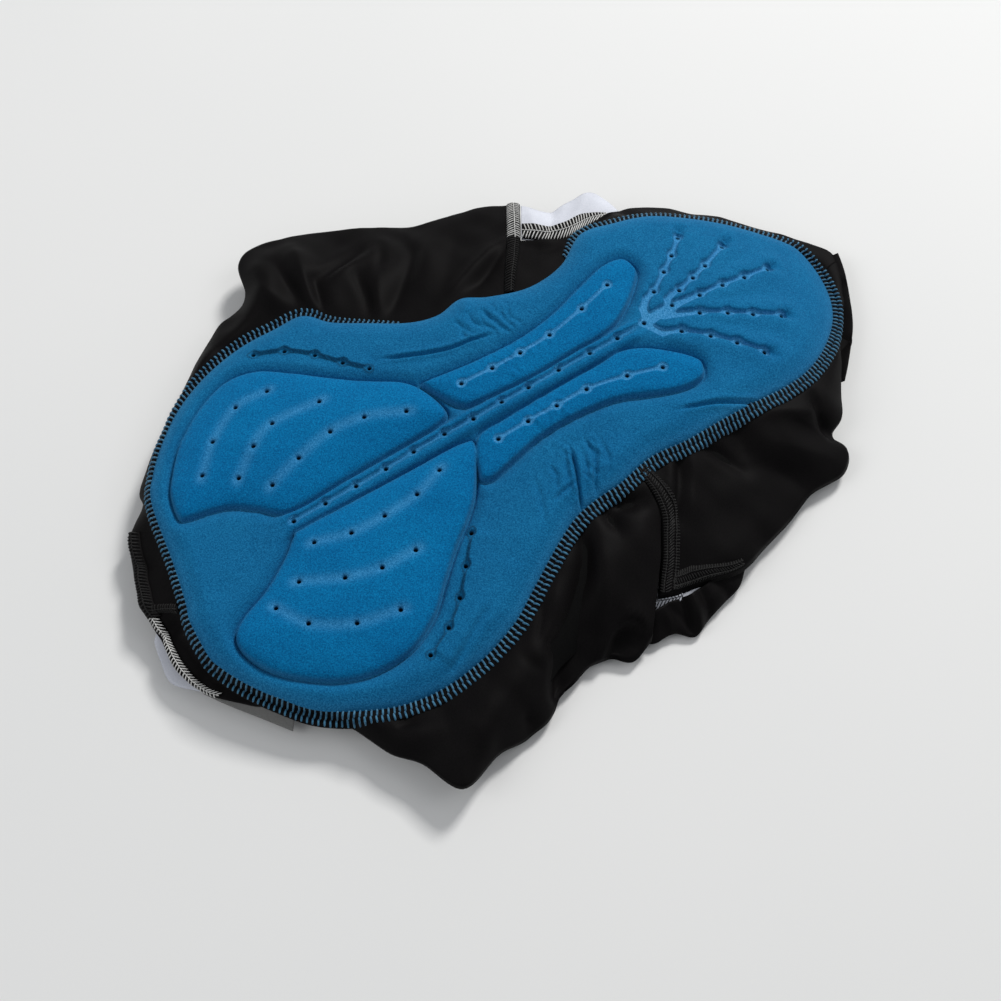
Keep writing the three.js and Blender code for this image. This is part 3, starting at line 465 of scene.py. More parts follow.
def ramp(nt, value, stops):
    r = nt.nodes.new("ShaderNodeValToRGB")
    e = r.color_ramp.elements
    while len(e) < len(stops):
        e.new(0.5)
    for x, (at, c) in zip(e, stops):
        x.position, x.color = at, (*c, 1) if len(c) == 3 else c
    nt.links.new(value, r.inputs["Fac"])
    return r.outputs["Color"]


def mixed(nt, factor, a, b, blend="MIX"):
    n = nt.nodes.new("ShaderNodeMix")
    n.data_type, n.blend_type = "RGBA", blend
    for socket, v in ((n.inputs[0], factor), (n.inputs[6], a), (n.inputs[7], b)):
        if hasattr(v, "is_linked"):
            nt.links.new(v, socket)
        else:
            socket.default_value = v if isinstance(v, (int, float)) else (*v, 1)
    return n.outputs[2]


def attribute(nt, name):
    n = nt.nodes.new("ShaderNodeAttribute")
    n.attribute_name = name
    return n.outputs["Fac"]


def maths(nt, op, a, b=None):
    n = nt.nodes.new("ShaderNodeMath")
    n.operation = op
    for i, v in enumerate((a, b)):
        if v is None:
            continue
        if hasattr(v, "is_linked"):
            nt.links.new(v, n.inputs[i])
        else:
            n.inputs[i].default_value = v
    return n.outputs[0]


def bump(nt, b, height, distance_m, strength=1.0):
    n = nt.nodes.new("ShaderNodeBump")
    n.inputs["Distance"].default_value = distance_m
    n.inputs["Strength"].default_value = strength
    nt.links.new(height, n.inputs["Height"])
    nt.links.new(n.outputs["Normal"], b.inputs["Normal"])


def blue_nap():
    m, nt, b = shader("brushed_blue_knit", 0.95, sheen=0.14, sheen_rough=0.5, tint=(0.25, 0.65, 1.0), specular=0.06)
    base = mixed(nt, attribute(nt, "deep"), (0.0054, 0.127, 0.296), (0.0013, 0.140, 0.350))
    base = mixed(nt, attribute(nt, "low"), base, (0.042, 0.245, 0.50))
    cloud = noise(nt, 28, 3, 0.55)
    base = mixed(nt, 1.0, base, ramp(nt, cloud, [(0.3, (0.88, 0.90, 0.93)), (0.7, (1.10, 1.07, 1.05))]), "MULTIPLY")
    grain = noise(nt, 1350, 3, 0.75)
    base = mixed(nt, 1.0, base, ramp(nt, grain, [(0.38, (0.40, 0.66, 0.72)), (0.5, (1, 1, 1)), (0.64, (2.3, 1.42, 1.30))]), "MULTIPLY")
    # the holes' floors and walls are painted near black: the black knit seen through each hole, together with the shade
    # inside it. The same mask lays a faint painted shade on each hole's lip and a painted shade line along the edges of
    # the slits
    base = mixed(nt, attribute(nt, "hole_dark_and_shade"), base, (0.007, 0.013, 0.020))
    nt.links.new(base, b.inputs["Base Color"])
    fur = maths(nt, "ADD", maths(nt, "MULTIPLY", noise(nt, 1500, 3, 0.7), 0.6), maths(nt, "MULTIPLY", noise(nt, 620, 2, 0.6), 0.9))
    bump(nt, b, fur, 0.00035, 0.75)
    return m


def knit(name, dark, light, roughness, sheen, specular, rib=0.0):
    m, nt, b = shader(name, roughness, sheen=sheen, sheen_rough=0.4, specular=specular)
    fine = noise(nt, 1900, 2, 0.6)
    base = ramp(nt, fine, [(0.3, dark), (0.7, light)])
    base = mixed(nt, 1.0, base, ramp(nt, noise(nt, 35, 3, 0.5), [(0.3, (0.88, 0.88, 0.88)), (0.7, (1.1, 1.1, 1.1))]), "MULTIPLY")
    nt.links.new(base, b.inputs["Base Color"])
    # the knit's loops: fine wales across fine courses
    c = nt.nodes.new("ShaderNodeTexCoord")
    waves = []
    for direction, scale in (("DIAGONAL", 620), ("Z", 900)):
        w = nt.nodes.new("ShaderNodeTexWave")
        w.bands_direction = direction
        w.inputs["Scale"].default_value = scale
        w.inputs["Distortion"].default_value = 1.2
        nt.links.new(c.outputs["Object"], w.inputs["Vector"])
        waves.append(w.outputs["Fac"])
    height = maths(nt, "ADD", maths(nt, "MULTIPLY", waves[0], 0.35), maths(nt, "MULTIPLY", waves[1], 0.2))
    height = maths(nt, "ADD", height, maths(nt, "MULTIPLY", fine, 0.5))
    bump(nt, b, height, 0.00008, 0.6)
    return m


def thread(name, dark, light, roughness=0.55, specular=0.35):
    m, nt, b = shader(name, roughness, sheen=0.15, specular=specular)
    base = ramp(nt, noise(nt, 700, 2, 0.6), [(0.35, dark), (0.65, light)])
    nt.links.new(base, b.inputs["Base Color"])
    bump(nt, b, noise(nt, 2400, 2, 0.6), 0.00006, 0.7)
    return m


BLUE = blue_nap()
BLACK = knit("black_elastane_knit", (0.0024, 0.0021, 0.0023), (0.0050, 0.0044, 0.0047), 0.60, 0.01, 0.055)
UNDER = knit("black_knit_inner_layers", (0.003, 0.003, 0.003), (0.005, 0.005, 0.0052), 0.7, 0.01, 0.04)
WHITE = knit("white_elastane_knit", (0.60, 0.625, 0.70), (0.70, 0.72, 0.79), 0.7, 0.1, 0.3)
BLUE_THREAD = thread("blue_overlock_thread", (0.016, 0.092, 0.18), (0.062, 0.21, 0.335), 0.6, 0.2)
BLACK_THREAD = thread("black_overlock_thread", (0.0045, 0.0045, 0.0045), (0.0135, 0.013, 0.0128), 0.6, 0.12)
WHITE_THREAD = thread("white_overlock_thread", (0.46, 0.46, 0.45), (0.72, 0.72, 0.70))
LABEL, nt, b = shader("translucent_label_satin", 0.42, sheen=0.1, specular=0.45, alpha=0.86)
nt.links.new(ramp(nt, noise(nt, 900, 2, 0.6), [(0.3, (0.15, 0.15, 0.145)), (0.7, (0.185, 0.185, 0.18))]), b.inputs["Base Color"])
bump(nt, b, noise(nt, 1600, 2, 0.6), 0.00005, 0.5)


# ---------- the pad ----------
OUT = {"seat_l": closed(SEAT_L, 10), "seat_r": closed(SEAT_R, 10), "mid_l": closed(MID_L, 10), "mid_r": closed(MID_R, 10)}
ROW_LINES = [through(r, np.linspace(-0.12, len(r) - 0.88, 40)) for r in SEAT_ROWS]
MID_LINES = [through(r, np.linspace(0, len(r) - 1, 48)) for r in MID_ROWS]
SLIT_LINES = [through(r, np.linspace(-0.15, len(r) - 1, 40)) for r in SLITS]
CREASES = [(w, d, through(p, np.linspace(0, len(p) - 1, 16))) for w, d, p in LINES]
FAN_LINES = {k: through(r, np.linspace(0, len(r) - 1, 30)) for k, r in FAN.items()}
CHANNEL_LINE = through(CHANNEL, np.linspace(-0.1, len(CHANNEL) - 2.1, 60))
# the low palm that the fan of grooves starts from: start, end and radius at each
PALM = [((91, .7), (97, 1.2), 2.5, 3.4), ((97, 1.2), (112, 2.4), 3.4, 3.0),
        ((95, 2.2), (96.4, 8.2), 2.9, 2.3), ((96.4, 8.2), (101, 12.8), 2.3, 1.8), ((101, 13), (108.2, 15.3), 1.8, 1.6),
        ((110, 2.8), (111.5, 7), 2.4, 1.8), ((111.5, 7), (116.5, 9), 1.8, 1.6), ((116.5, 9), (121.5, 9.6), 1.6, 1.6),
        ((112, 2.2), (130.1, 1.8), 2.7, 1.7), ((104, -1), (123, -8.4), 2.8, 1.8),
        ((92.5, -2), (97, -9.8), 2.6, 2.2), ((97, -9.8), (107, -13.9), 2.2, 1.7)]
FAN_ENDS = [(146.5, 45.5), (167.5, 28), (183.5, 2.4), (169.5, -31), (144.4, -49)]
HOLES = CHANNEL + [p for r in FAN.values() for p in r] + [p for r in SEAT_ROWS for p in r] + [p for r in MID_ROWS for p in r] + [p for r in SLITS for p in r]


def capsule(p, a, b, ra, rb):
    """Distance to a tapered bar, negative inside it."""
    a, b = np.array(a, float), np.array(b, float)
    t = np.clip(((p - a) @ (b - a)) / ((b - a) @ (b - a)), 0, 1)
    return np.linalg.norm(p - a - t[:, None] * (b - a), axis=1) - (ra + (rb - ra) * t)


def melt(a, b, k):
    """The smaller of two distances, with the corner between them rounded over k."""
    t = np.clip(0.5 + 0.5 * (b - a) / k, 0, 1)
    return b + (a - b) * t - k * t * (1 - t)


def beads(p, line, dots, bar, dot, k=2.2):
    """Distance to a groove that widens round each of its holes, negative inside it."""
    g = distance(p, line)[0] - bar
    for q in dots:
        g = melt(g, np.linalg.norm(p - np.array(q), axis=1) - dot, k)
    return g


def features(p):
    """The signed distances that the pad's relief is made from."""
    f = {k: signed(p, o) for k, o in OUT.items()}
    f["channel"] = beads(p, CHANNEL_LINE, CHANNEL[:-1], 1.05, 2.5)
    palm = np.full(len(p), 1e9)
    for a, b, ra, rb in PALM:
        palm = melt(palm, capsule(p, a, b, ra, rb), 1.2)
    f["palm"] = palm
    f["fan"] = np.minimum.reduce([beads(p, FAN_LINES[k], FAN[k], 1.15, 2.6, 2.8) for k in FAN])
    f["rows"] = np.minimum.reduce([distance(p, l)[0] for l in ROW_LINES])
    f["mid_rows"] = np.minimum.reduce([beads(p, l, r, 0.95, 2.75) for l, r in zip(MID_LINES, MID_ROWS)])
    f["slits"] = np.minimum.reduce([beads(p, l, r, 0.5, 2.3) for l, r in zip(SLIT_LINES, SLITS)])
    f["creases"] = np.minimum.reduce([distance(p, l)[0] for _, _, l in CREASES])
    return f


def relief(p, f, e):
    """Height of the pad's face over its dome, and how light, deep and low each place is."""
    u, v = p[:, 0], p[:, 1]
    h = -5.3 * np.exp(-np.maximum(e, 0) / 4.2)
    seat = np.maximum(f["seat_l"], f["seat_r"])
    mid = np.maximum(f["mid_l"], f["mid_r"])
    near = np.maximum(seat, mid)
    away = np.maximum(-near, 0)
    # the wings swell between the pad's edge and the cushions, and roll down into the grooves
    lane = smooth(-near, 0.5, 7) * smooth(e, 3, 12)
    h += 1.5 * lane
    h -= 2.1 * np.exp(-(away / 2.8) ** 1.3) * (near < 0) * smooth(np.abs(v + 0.8), 5.5, 8)
    # cushions
    d = np.maximum(seat, 0)
    h += (seat > 0) * (1.9 * (1 - np.exp(-d / 1.5)) + 7.2 * (1 - np.exp(-d / 17)))
    d = np.maximum(mid, 0)
    h += (mid > 0) * (2.0 * (1 - np.exp(-d / 0.9)) + 1.9 * (1 - np.exp(-d / 5)))
    h -= 1.9 * np.exp(-(near / 0.72) ** 2)
    # the middle channel: a flat band of holes between two rounded ribs
    long = smooth(u, -136, -128) * (1 - smooth(u, 80, 93))
    groove = (1 - smooth(f["channel"], -0.35, 0.35)) * long
    rib = 0
    for a, b in ((0.3, 4.9), (-1.9, -7.2)):
        t = np.clip((v - a) / (b - a), 0, 1)
        rib = rib + (1 - (2 * t - 1) ** 2) ** 0.65
    rib = rib * long * (near < 0) * (1 - groove)
    h += 1.7 * rib
    h -= 1.0 * groove
    fan = melt(f["palm"], f["fan"], 0.9)
    palm = 1 - smooth(fan, -0.4, 0.4)
    d = np.maximum(fan, 0)
    # the fingers between the grooves are puffed, with rounded shoulders
    h += (2.2 * np.exp(-(d / 8) ** 2) - 1.6 * np.exp(-d / 1.6)) * (1 - palm) * smooth(u, 93, 103) * (near < 0)
    h -= 1.35 * palm
    for q in FAN_ENDS:
        r = np.linalg.norm(p - np.array(q), axis=1)
        ang = np.arctan2(p[:, 1] - q[1], p[:, 0] - q[0])
        h -= 3.2 * np.exp(-(r / 3.0) ** 2) + 0.7 * np.exp(-(r / 6) ** 2) * (0.5 + 0.5 * np.sin(5 * ang + q[0])) * smooth(r, 0.5, 3)
    # rows of holes
    h -= 0.62 * np.exp(-(f["rows"] / 3.0) ** 2)
    for r in SEAT_ROWS:
        for q in r:
            h -= 0.7 * np.exp(-(np.linalg.norm(p - np.array(q), axis=1) / 1.9) ** 2)
    mid_groove = 1 - smooth(f["mid_rows"], -0.4, 0.4)
    h -= 1.0 * mid_groove
    # each slit is a step: the wing outside it stands over a floor that the holes are pierced in
    for line, dots, up, down, wide in zip(SLIT_LINES, SLITS, (1.0, 1.5), (0.9, 1.9), (6, 3.5)):
        dist, along = distance(p, line)
        ends = smooth(along, 0, 0.07) * (1 - smooth(along, 0.93, 1))
        high = smooth(beads(p, line, dots, 0.3, 2.3), -0.3, 0.45) * (side_of(p, line) > 0)
        h += ends * (up * high * np.exp(-(dist / 12) ** 2) - down * (1 - high) * np.exp(-(dist / wide) ** 2))
    for w, depth, line in CREASES:
        dist, along = distance(p, line)
        end = smooth(along, 0, 0.25) * (1 - smooth(along, 0.8, 1.0))
        h += end * (-depth * np.exp(-(dist / w) ** 2) + 0.45 * depth * np.exp(-((dist - 2.4 * w) / (1.3 * w)) ** 2))
    waist = np.exp(-((u - 18) / 22) ** 2) * smooth(e, 2, 8) * (1 - 0.6 * (np.abs(v + 0.8) < 8))
    h += 0.34 * waist * ripple(u * 1.9, v * 0.7, 8)
    h += 0.22 * ripple(u, v, 26) * smooth(e, 2, 10) + 0.10 * ripple(v, u, 9) * smooth(e, 2, 10)
    halo = np.exp(-(np.min([np.linalg.norm(p - np.array(q), axis=1) for r in SEAT_ROWS for q in r], axis=0) / 2.4) ** 2)
    low = np.clip(0.5 * groove + 0.9 * palm + 0.9 * mid_groove + 0.35 * halo + 0.5 * np.exp(-(f["rows"] / 2.7) ** 2) + 0.3 * np.exp(-(near / 0.9) ** 2), 0, 1)
    low = np.clip(low + 0.18 * (1 - smooth(e, 0.5, 7)), 0, 1)
    deep = np.clip(smooth(near, 0.3, 2.2), 0, 1)
    deep = np.maximum(deep, 0.5 * rib)
    return h, low, deep


def hexes(step, loop):
    lo, hi = loop.min(0) - step, loop.max(0) + step
    rows = np.arange(lo[1], hi[1], step * 0.866)
    out = [np.stack([np.arange(lo[0], hi[0], step) + (step / 2 if i % 2 else 0), np.full(len(np.arange(lo[0], hi[0], step)), y)], 1) for i, y in enumerate(rows)]
    return np.vstack(out)


def make_pad():
    fine, coarse = ((0.72, 1.5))
    rim = even(EDGE, 1.3, True)

    def kept(points, margin):
        points = points[inside(points, rim)]
        return points[distance(points, rim, True)[0] > margin]

    def busy(points):
        f = features(points)
        return np.minimum.reduce([np.abs(f["seat_l"]), np.abs(f["seat_r"]), np.abs(f["mid_l"]), np.abs(f["mid_r"]), np.maximum(f["channel"], 0), np.maximum(f["palm"], 0), np.maximum(f["fan"], 0),
                                  np.maximum(f["mid_rows"], 0), np.maximum(f["slits"], 0), f["creases"]])
    a = kept(hexes(fine, rim), fine * 0.9)
    a = a[busy(a) < 2.1]
    c = kept(hexes(coarse, rim), 1.0)
    c = c[busy(c) >= 2.1]
    grid = np.vstack([a, c])
    side, lines = (0.75), []
    for o in OUT.values():
        ring = even(o, side * 1.15, True)
        t = unit(np.roll(ring, -1, 0) - np.roll(ring, 1, 0))
        out = np.stack([t[:, 1], -t[:, 0]], 1)
        for k in (-2, -1, 0, 1, 2):
            # a little off the outline, so that no point lies on it and falls to either side
            q = ring + out * (k * side * 0.8 + 0.1)
            lines.append(q[np.abs(np.abs(signed(q, o)) - abs(k) * side * 0.8) < 0.22])
    edge_d = np.minimum.reduce([distance(grid, o, True)[0] for o in OUT.values()])
    grid = grid[edge_d > side * 2.25]
    lines = kept(np.vstack(lines), 0.8)
    # where two edges' rows come together, only one point of each close pair stays
    cell = {}
    for q in lines:
        cell.setdefault((round(q[0] / 0.42), round(q[1] / 0.42)), q)
    grid = np.vstack([grid, np.array(list(cell.values()))])
    holes = np.array(HOLES)
    clear = np.ones(len(grid), bool)
    for q in holes:
        clear &= np.linalg.norm(grid - q, axis=1) > HOLE + 0.45
    grid = grid[clear]
    ang = np.arange(12) * math.pi / 6
    circle = np.stack([np.cos(ang), np.sin(ang)], 1)
    lip = (holes[:, None] + circle[None] * (HOLE + 0.1)).reshape(-1, 2)
    wall = (holes[:, None] + circle[None] * (HOLE - 0.2)).reshape(-1, 2)
    pts = np.vstack([rim, grid, lip, wall, holes])
    n_rim, n_grid, n_lip, n_wall = len(rim), len(grid), len(lip), len(wall)
    f = features(pts)
    e = np.maximum(np.where(np.arange(len(pts)) < n_rim, 0, signed(pts, rim)), 0)
    h, low, deep = relief(pts, f, e)
    # the hole walls and floors get the near-black colour of the black knit seen through the holes, with their shade
    # painted in
    hole_dark_and_shade = np.zeros(len(pts))
    k = n_rim + n_grid + n_lip
    h[k:k + n_wall] -= 2.6
    hole_dark_and_shade[k:k + n_wall] = 1
    h[k + n_wall:] -= 3.0
    hole_dark_and_shade[k + n_wall:] = 1
    # a faint painted shade on the lip ring round each hole
    hole_dark_and_shade[k - n_lip:k] = 0.12
    # painted shade: a dark line along both edges of each slit stands in for the shaded wall of the step
    hole_dark_and_shade = np.maximum(hole_dark_and_shade, 0.55 * np.exp(-(f["slits"] / 0.45) ** 2))
    low = low * (1 - hole_dark_and_shade)
    edges = [(i, (i + 1) % n_rim) for i in range(n_rim)]
    vs, _, tri, *_ = delaunay_2d_cdt([Vector(x) for x in pts], edges, [list(range(n_rim))], 1, 1e-6)
    top = np.array([list(x)[:3] for x in tri])
    z = dome(pts[:, 0], pts[:, 1]) + h
    if len(vs) != len(pts):
        raise ValueError("the pad's points were merged")
    # the underside, coarse
    under = kept(hexes(7, rim), 3)
    low_pts = np.vstack([rim, under])
    _, _, tri2, *_ = delaunay_2d_cdt([Vector(x) for x in low_pts], edges, [list(range(n_rim))], 1, 1e-6)
    e2 = np.concatenate([np.zeros(n_rim), distance(under, rim, True)[0]])
    z2 = dome(low_pts[:, 0], low_pts[:, 1]) - PAD_THICK + 1.1 * np.exp(-e2 / 4)
    x, y = plan(pts[:, 0], pts[:, 1])
    x2, y2 = plan(low_pts[:, 0], low_pts[:, 1])
    points = np.vstack([np.stack([x, y, z], 1), np.stack([x2, y2, z2], 1)])
    n = len(pts)
    a, b, c = (pts[top[:, i]] for i in range(3))
    turn = (b[:, 0] - a[:, 0]) * (c[:, 1] - a[:, 1]) - (b[:, 1] - a[:, 1]) * (c[:, 0] - a[:, 0])
    top[turn < 0] = top[turn < 0][:, ::-1]
    bottom = np.array([list(t)[:3] for t in tri2])
    a, b, c = (low_pts[bottom[:, i]] for i in range(3))
    turn = (b[:, 0] - a[:, 0]) * (c[:, 1] - a[:, 1]) - (b[:, 1] - a[:, 1]) * (c[:, 0] - a[:, 0])
    bottom[turn > 0] = bottom[turn > 0][:, ::-1]
    area = sum(EDGE[i][0] * EDGE[(i + 1) % len(EDGE)][1] - EDGE[(i + 1) % len(EDGE)][0] * EDGE[i][1] for i in range(len(EDGE)))
    wall = [(i, (i + 1) % n_rim, n + (i + 1) % n_rim, n + i) for i in range(n_rim)]
    if area > 0:
        wall = [w[::-1] for w in wall]
    faces = [list(t) for t in top] + [list(t + n) for t in bottom] + wall
    pad_n = len(low_pts)
    zero = np.zeros(pad_n)
    o = mesh_piece("chamois_pad", points, faces, BLUE, {"low": np.concatenate([low, zero]), "deep": np.concatenate([deep, zero]), "hole_dark_and_shade": np.concatenate([hole_dark_and_shade, zero])})
    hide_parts("pad_base", "seat_cushion_left", "seat_cushion_right", "mid_cushion_left", "mid_cushion_right")
    return o


# ---------- the cloth panels ----------
RAISE = 1.7   # the cloth comes up to meet the pad's stitched edge


def lips(m, r):
    back = np.array([m[0] - r[0], m[1] - r[1], 0.0])
    if np.linalg.norm(back) < 6:
        back = np.array([-r[0], 24 - r[1], 0.0])
    back /= np.linalg.norm(back)
    a, b = r + back * 1.2, r + back * 4.5
    a[2], b[2] = r[2] - min(3.2, r[2] * 0.3), r[2] - min(5, r[2] * 0.45)
    return a, b


def section(row):
    at, mx, my, mz, rx, ry, rz = row
    (u, v), inward = edge_at(at)
    iu, iv = u + inward[0] * TUCK, v + inward[1] * TUCK
    ax, ay = plan(iu, iv)
    bx, by = plan(u, v)
    m, r = np.array([mx, my, mz], float), np.array([rx, ry, rz], float)
    return np.array([[ax, ay, dome(iu, iv) - PAD_THICK - 0.6], [bx, by, dome(u, v) - PAD_THICK - 0.5 + RAISE], m, r, *lips(m, r)])


def strip(row, back=0.0):
    a, m, r = np.array(row[:3], float), np.array(row[3:6], float), np.array(row[6:], float)
    if not back:
        return np.array([a, m, r])
    # a folded outer edge, turned back under itself
    d = np.array([m[0] - r[0], m[1] - r[1], 0.0])
    d /= np.linalg.norm(d)
    one, two = r + d * 1.0, r + d * back
    one[2], two[2] = r[2] - 2.4, r[2] - 3.6
    return np.array([a, m, r, one, two])


def surface(sections, rows_at, parts_at):
    s = np.asarray(sections)
    n = len(s) - 1
    out = []
    for r in rows_at:
        k = min(max(int(math.floor(r)), 0), n - 1)
        q = [min(max(j, 0), n) for j in (k - 1, k, k + 1, k + 2)]
        out.append(through(cubic(s[q[0]], s[q[1]], s[q[2]], s[q[3]], r - k), parts_at))
    return np.array(out)


def spaced(lengths, step):
    """Parameters along a row of spans, about step millimetres apart."""
    out = []
    for i, l in enumerate(lengths):
        n = max(1, int(round(l / step)))
        out += [i + j / n for j in range(n)]
    return np.array(out + [len(lengths)])


def folded(grid, name, near_edge=None, wave=0.5, rim=None):
    """The grid with its folds: the listed troughs and ridges, over low waves."""
    x, y = grid[..., 0].ravel(), grid[..., 1].ravel()
    p = np.stack([x, y], 1)
    h = np.zeros(len(p))
    for x0, y0, x1, y1, x2, y2, w, a in FOLDS.get(name, []):
        line = through([(x0, y0), (x1, y1), (x2, y2)], np.linspace(0, 2, 18))
        d, along = distance(p, line)
        body = 0.6 * np.exp(-(d / w) ** 2) + 0.4 * np.exp(-(np.sqrt(d * d + 0.4) - 0.63) / (0.75 * w))
        a *= 0.72 if name == "back_panel_left" else 1
        h += a * body * (0.35 + 0.65 * np.sin(math.pi * np.clip(along, 0.03, 0.97)) ** 0.6)
    h = h.reshape(grid.shape[:2])
    h += wave * (ripple(grid[..., 0], grid[..., 1], 46) + 0.45 * ripple(grid[..., 1] + 40, grid[..., 0], 21))
    if near_edge is not None:
        h = np.where(h > 0, h * near_edge, h * (0.25 + 0.75 * near_edge))
    if rim is not None:
        h = h * rim
    return h


PANELS = {}


def panel(name, table):
    step = 1.7
    secs = [section(r) for r in table]
    coarse = surface(secs, np.arange(len(secs)), np.arange(6))
    across = np.linalg.norm(np.diff(coarse[:, 1:4], axis=0), axis=2).mean(1)
    down = np.linalg.norm(np.diff(coarse, axis=1), axis=2).mean(0)
    rows_at = spaced(across, step)
    parts = spaced(down, step)
    parts = parts[(parts >= 0.45) & (parts <= 5)]
    g = surface(secs, rows_at, parts)
    nrm = grid_normals(g)
    from_edge = np.concatenate([np.zeros((len(g), 1)), np.cumsum(np.linalg.norm(np.diff(g, axis=1), axis=2), axis=1)], 1)
    start = np.argmin(np.abs(parts - 1.0))
    gone = from_edge - from_edge[:, start:start + 1]
    fade = smooth(gone, 2, 12)
    rim = np.broadcast_to(1 - smooth(parts, 3.0, 3.9), g.shape[:2])
    h = folded(g, name, fade, 0.75, rim)
    g2 = g + nrm * h[..., None]
    # the outer fold wanders a little in and out, and up and down
    out = np.broadcast_to(smooth(parts, 2.2, 3.2), g.shape[:2])
    g2[..., 2] += out * 0.9 * ripple(g[..., 0], g[..., 1], 30)
    PANELS[name] = (g2, rows_at, parts, secs)
    o = mesh_piece(name + "_cloth", g2.reshape(-1, 3), grid_faces(*g.shape[:2], not upward(g)), BLACK, solid=CLOTH)
    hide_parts(name)
    return o


def small(name, table, node_name, material, back=0.0, wave=0.3, step=1.2, wall=CLOTH):
    secs = [strip(r, back) for r in table]
    coarse = surface(secs, np.arange(len(secs)), np.arange(len(secs[0])))
    across = np.linalg.norm(np.diff(coarse, axis=0), axis=2).mean(1)
    down = np.linalg.norm(np.diff(coarse, axis=1), axis=2).mean(0)
    g = surface(secs, spaced(across, step), spaced(down, step))
    h = folded(g, name, None, wave)
    if back:
        h = h * (1 - smooth(np.broadcast_to(spaced(down, step), g.shape[:2]), 2.0, 2.6))
    g2 = g + grid_normals(g) * h[..., None]
    PANELS[name] = (g2, spaced(across, step), spaced(down, step), secs)
    o = mesh_piece(name + "_cloth", g2.reshape(-1, 3), grid_faces(*g.shape[:2], not upward(g)), material, solid=wall)
    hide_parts(node_name)
    return o


panel("back_panel_left", BACK_LEFT)
panel("front_panel_left", FRONT_LEFT)
panel("front_panel_right", FRONT_RIGHT)
panel("back_panel_right", BACK_RIGHT)
panel("rear_panel", REAR)
small("insert_left", INSERT_LEFT, "insert_left", WHITE)
small("insert_right", INSERT_RIGHT, "insert_right", WHITE)
small("insert_back", INSERT_BACK, "insert_back", WHITE)
small("leg_right", LEG_RIGHT, "leg_right", BLACK, back=4, wave=0.5)
small("front_fold", FRONT_FOLD, "front_fold", BLACK, back=7, wave=0.4)
small("care_label", CARE_LABEL, "care_label", LABEL, wave=0.25, wall=0.35)


# ---------- the layers inside the heap ----------
def heap():
    table = [*FRONT_RIGHT, *BACK_RIGHT, *REAR[1:], *BACK_LEFT[1:], *FRONT_LEFT[:-1]]
    spine = np.array([(-160.0, -10.0), (178.0, 0.0)])
    n_layers = 4
    rings = []
    for i, row in enumerate(table):
        s = section(row)
        rim = s[3]
        back = unit(np.array([s[5][0] - rim[0], s[5][1] - rim[1], 0.0]))
        at = row[0]
        b = 15.0 if at < 90 or at > 1040 or 190 < at < 210 else 8.0
        h = max(rim[2] - 4.5, 3.0)
        pts = []
        for k in range(n_layers):
            z0, z1 = h * k / n_layers, h * (k + 1) / n_layers
            d = b + 1.6 + 1.5 * math.sin(0.9 * i + 2.1 * k) + 0.8 * math.sin(2.3 * i + k)
            for f, ins in ((0.04, 3.6), (0.16, 1.1), (0.38, 0.15), (0.62, 0.0), (0.84, 0.9), (0.96, 3.4)):
                q = rim + back * (d + ins)
                q[2] = z0 + (z1 - z0) * f if k or f > 0.05 else 0.0
                pts.append(q)
        (u, v), _ = edge_at(at)
        a, c = spine
        t = np.clip(((np.array([u, v]) - a) @ (c - a)) / ((c - a) @ (c - a)), 0, 1)
        foot = a + (c - a) * t
        mid = [through(s, x)[0] for x in (2.5, 2, 1.5, 1)]
        for k, q in enumerate(mid):
            q = q.copy()
            q[2] = max(q[2] - 4.2, h)
            least = b + 5 + 2 * k
            if math.hypot(q[0] - rim[0], q[1] - rim[1]) < least:
                c2 = rim + back * least
                q = np.array([c2[0], c2[1], max(h, min(q[2], 60))])
            pts.append(q)
        for k in (0.15, 0.55, 0.93):
            g = np.array([u, v]) * (1 - k) + foot * k
            x, y = plan(*g)
            pts.append(np.array([x, y, dome(*g) - PAD_THICK - (4.4 if k < 0.3 else 2.2)]))
        rings.append(pts)
    g = np.array(rings)
    # round the heap the rings are smoothed, so that the layers' edges run on
    fine = closed(g.reshape(len(g), -1), 4).reshape(-1, g.shape[1], 3)
    fine[:, 0, 2] = 0
    n, m = fine.shape[:2]
    for k in range(1, m):
        fine[:, k, 2] = np.maximum(fine[:, k, 2], 0.1 if k < 3 else 0.5)
    pts = fine.reshape(-1, 3)
    faces = []
    for i in range(n):
        for j in range(m - 1):
            a, c = i * m + j, ((i + 1) % n) * m + j
            faces.append([a, a + 1, c + 1, c])
    low_c, top_c = fine[:, 0].mean(0), fine[:, -1].mean(0)
    pts = np.vstack([pts, low_c, top_c])
    for i in range(n):
        a, c = i * m, ((i + 1) % n) * m
        faces.append([a, c, n * m])
        faces.append([a + m - 1, n * m + 1, c + m - 1])
    o = mesh_piece("heap_layers", pts, faces, UNDER)
    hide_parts("heap_core")
    return o


heap_layers = heap()


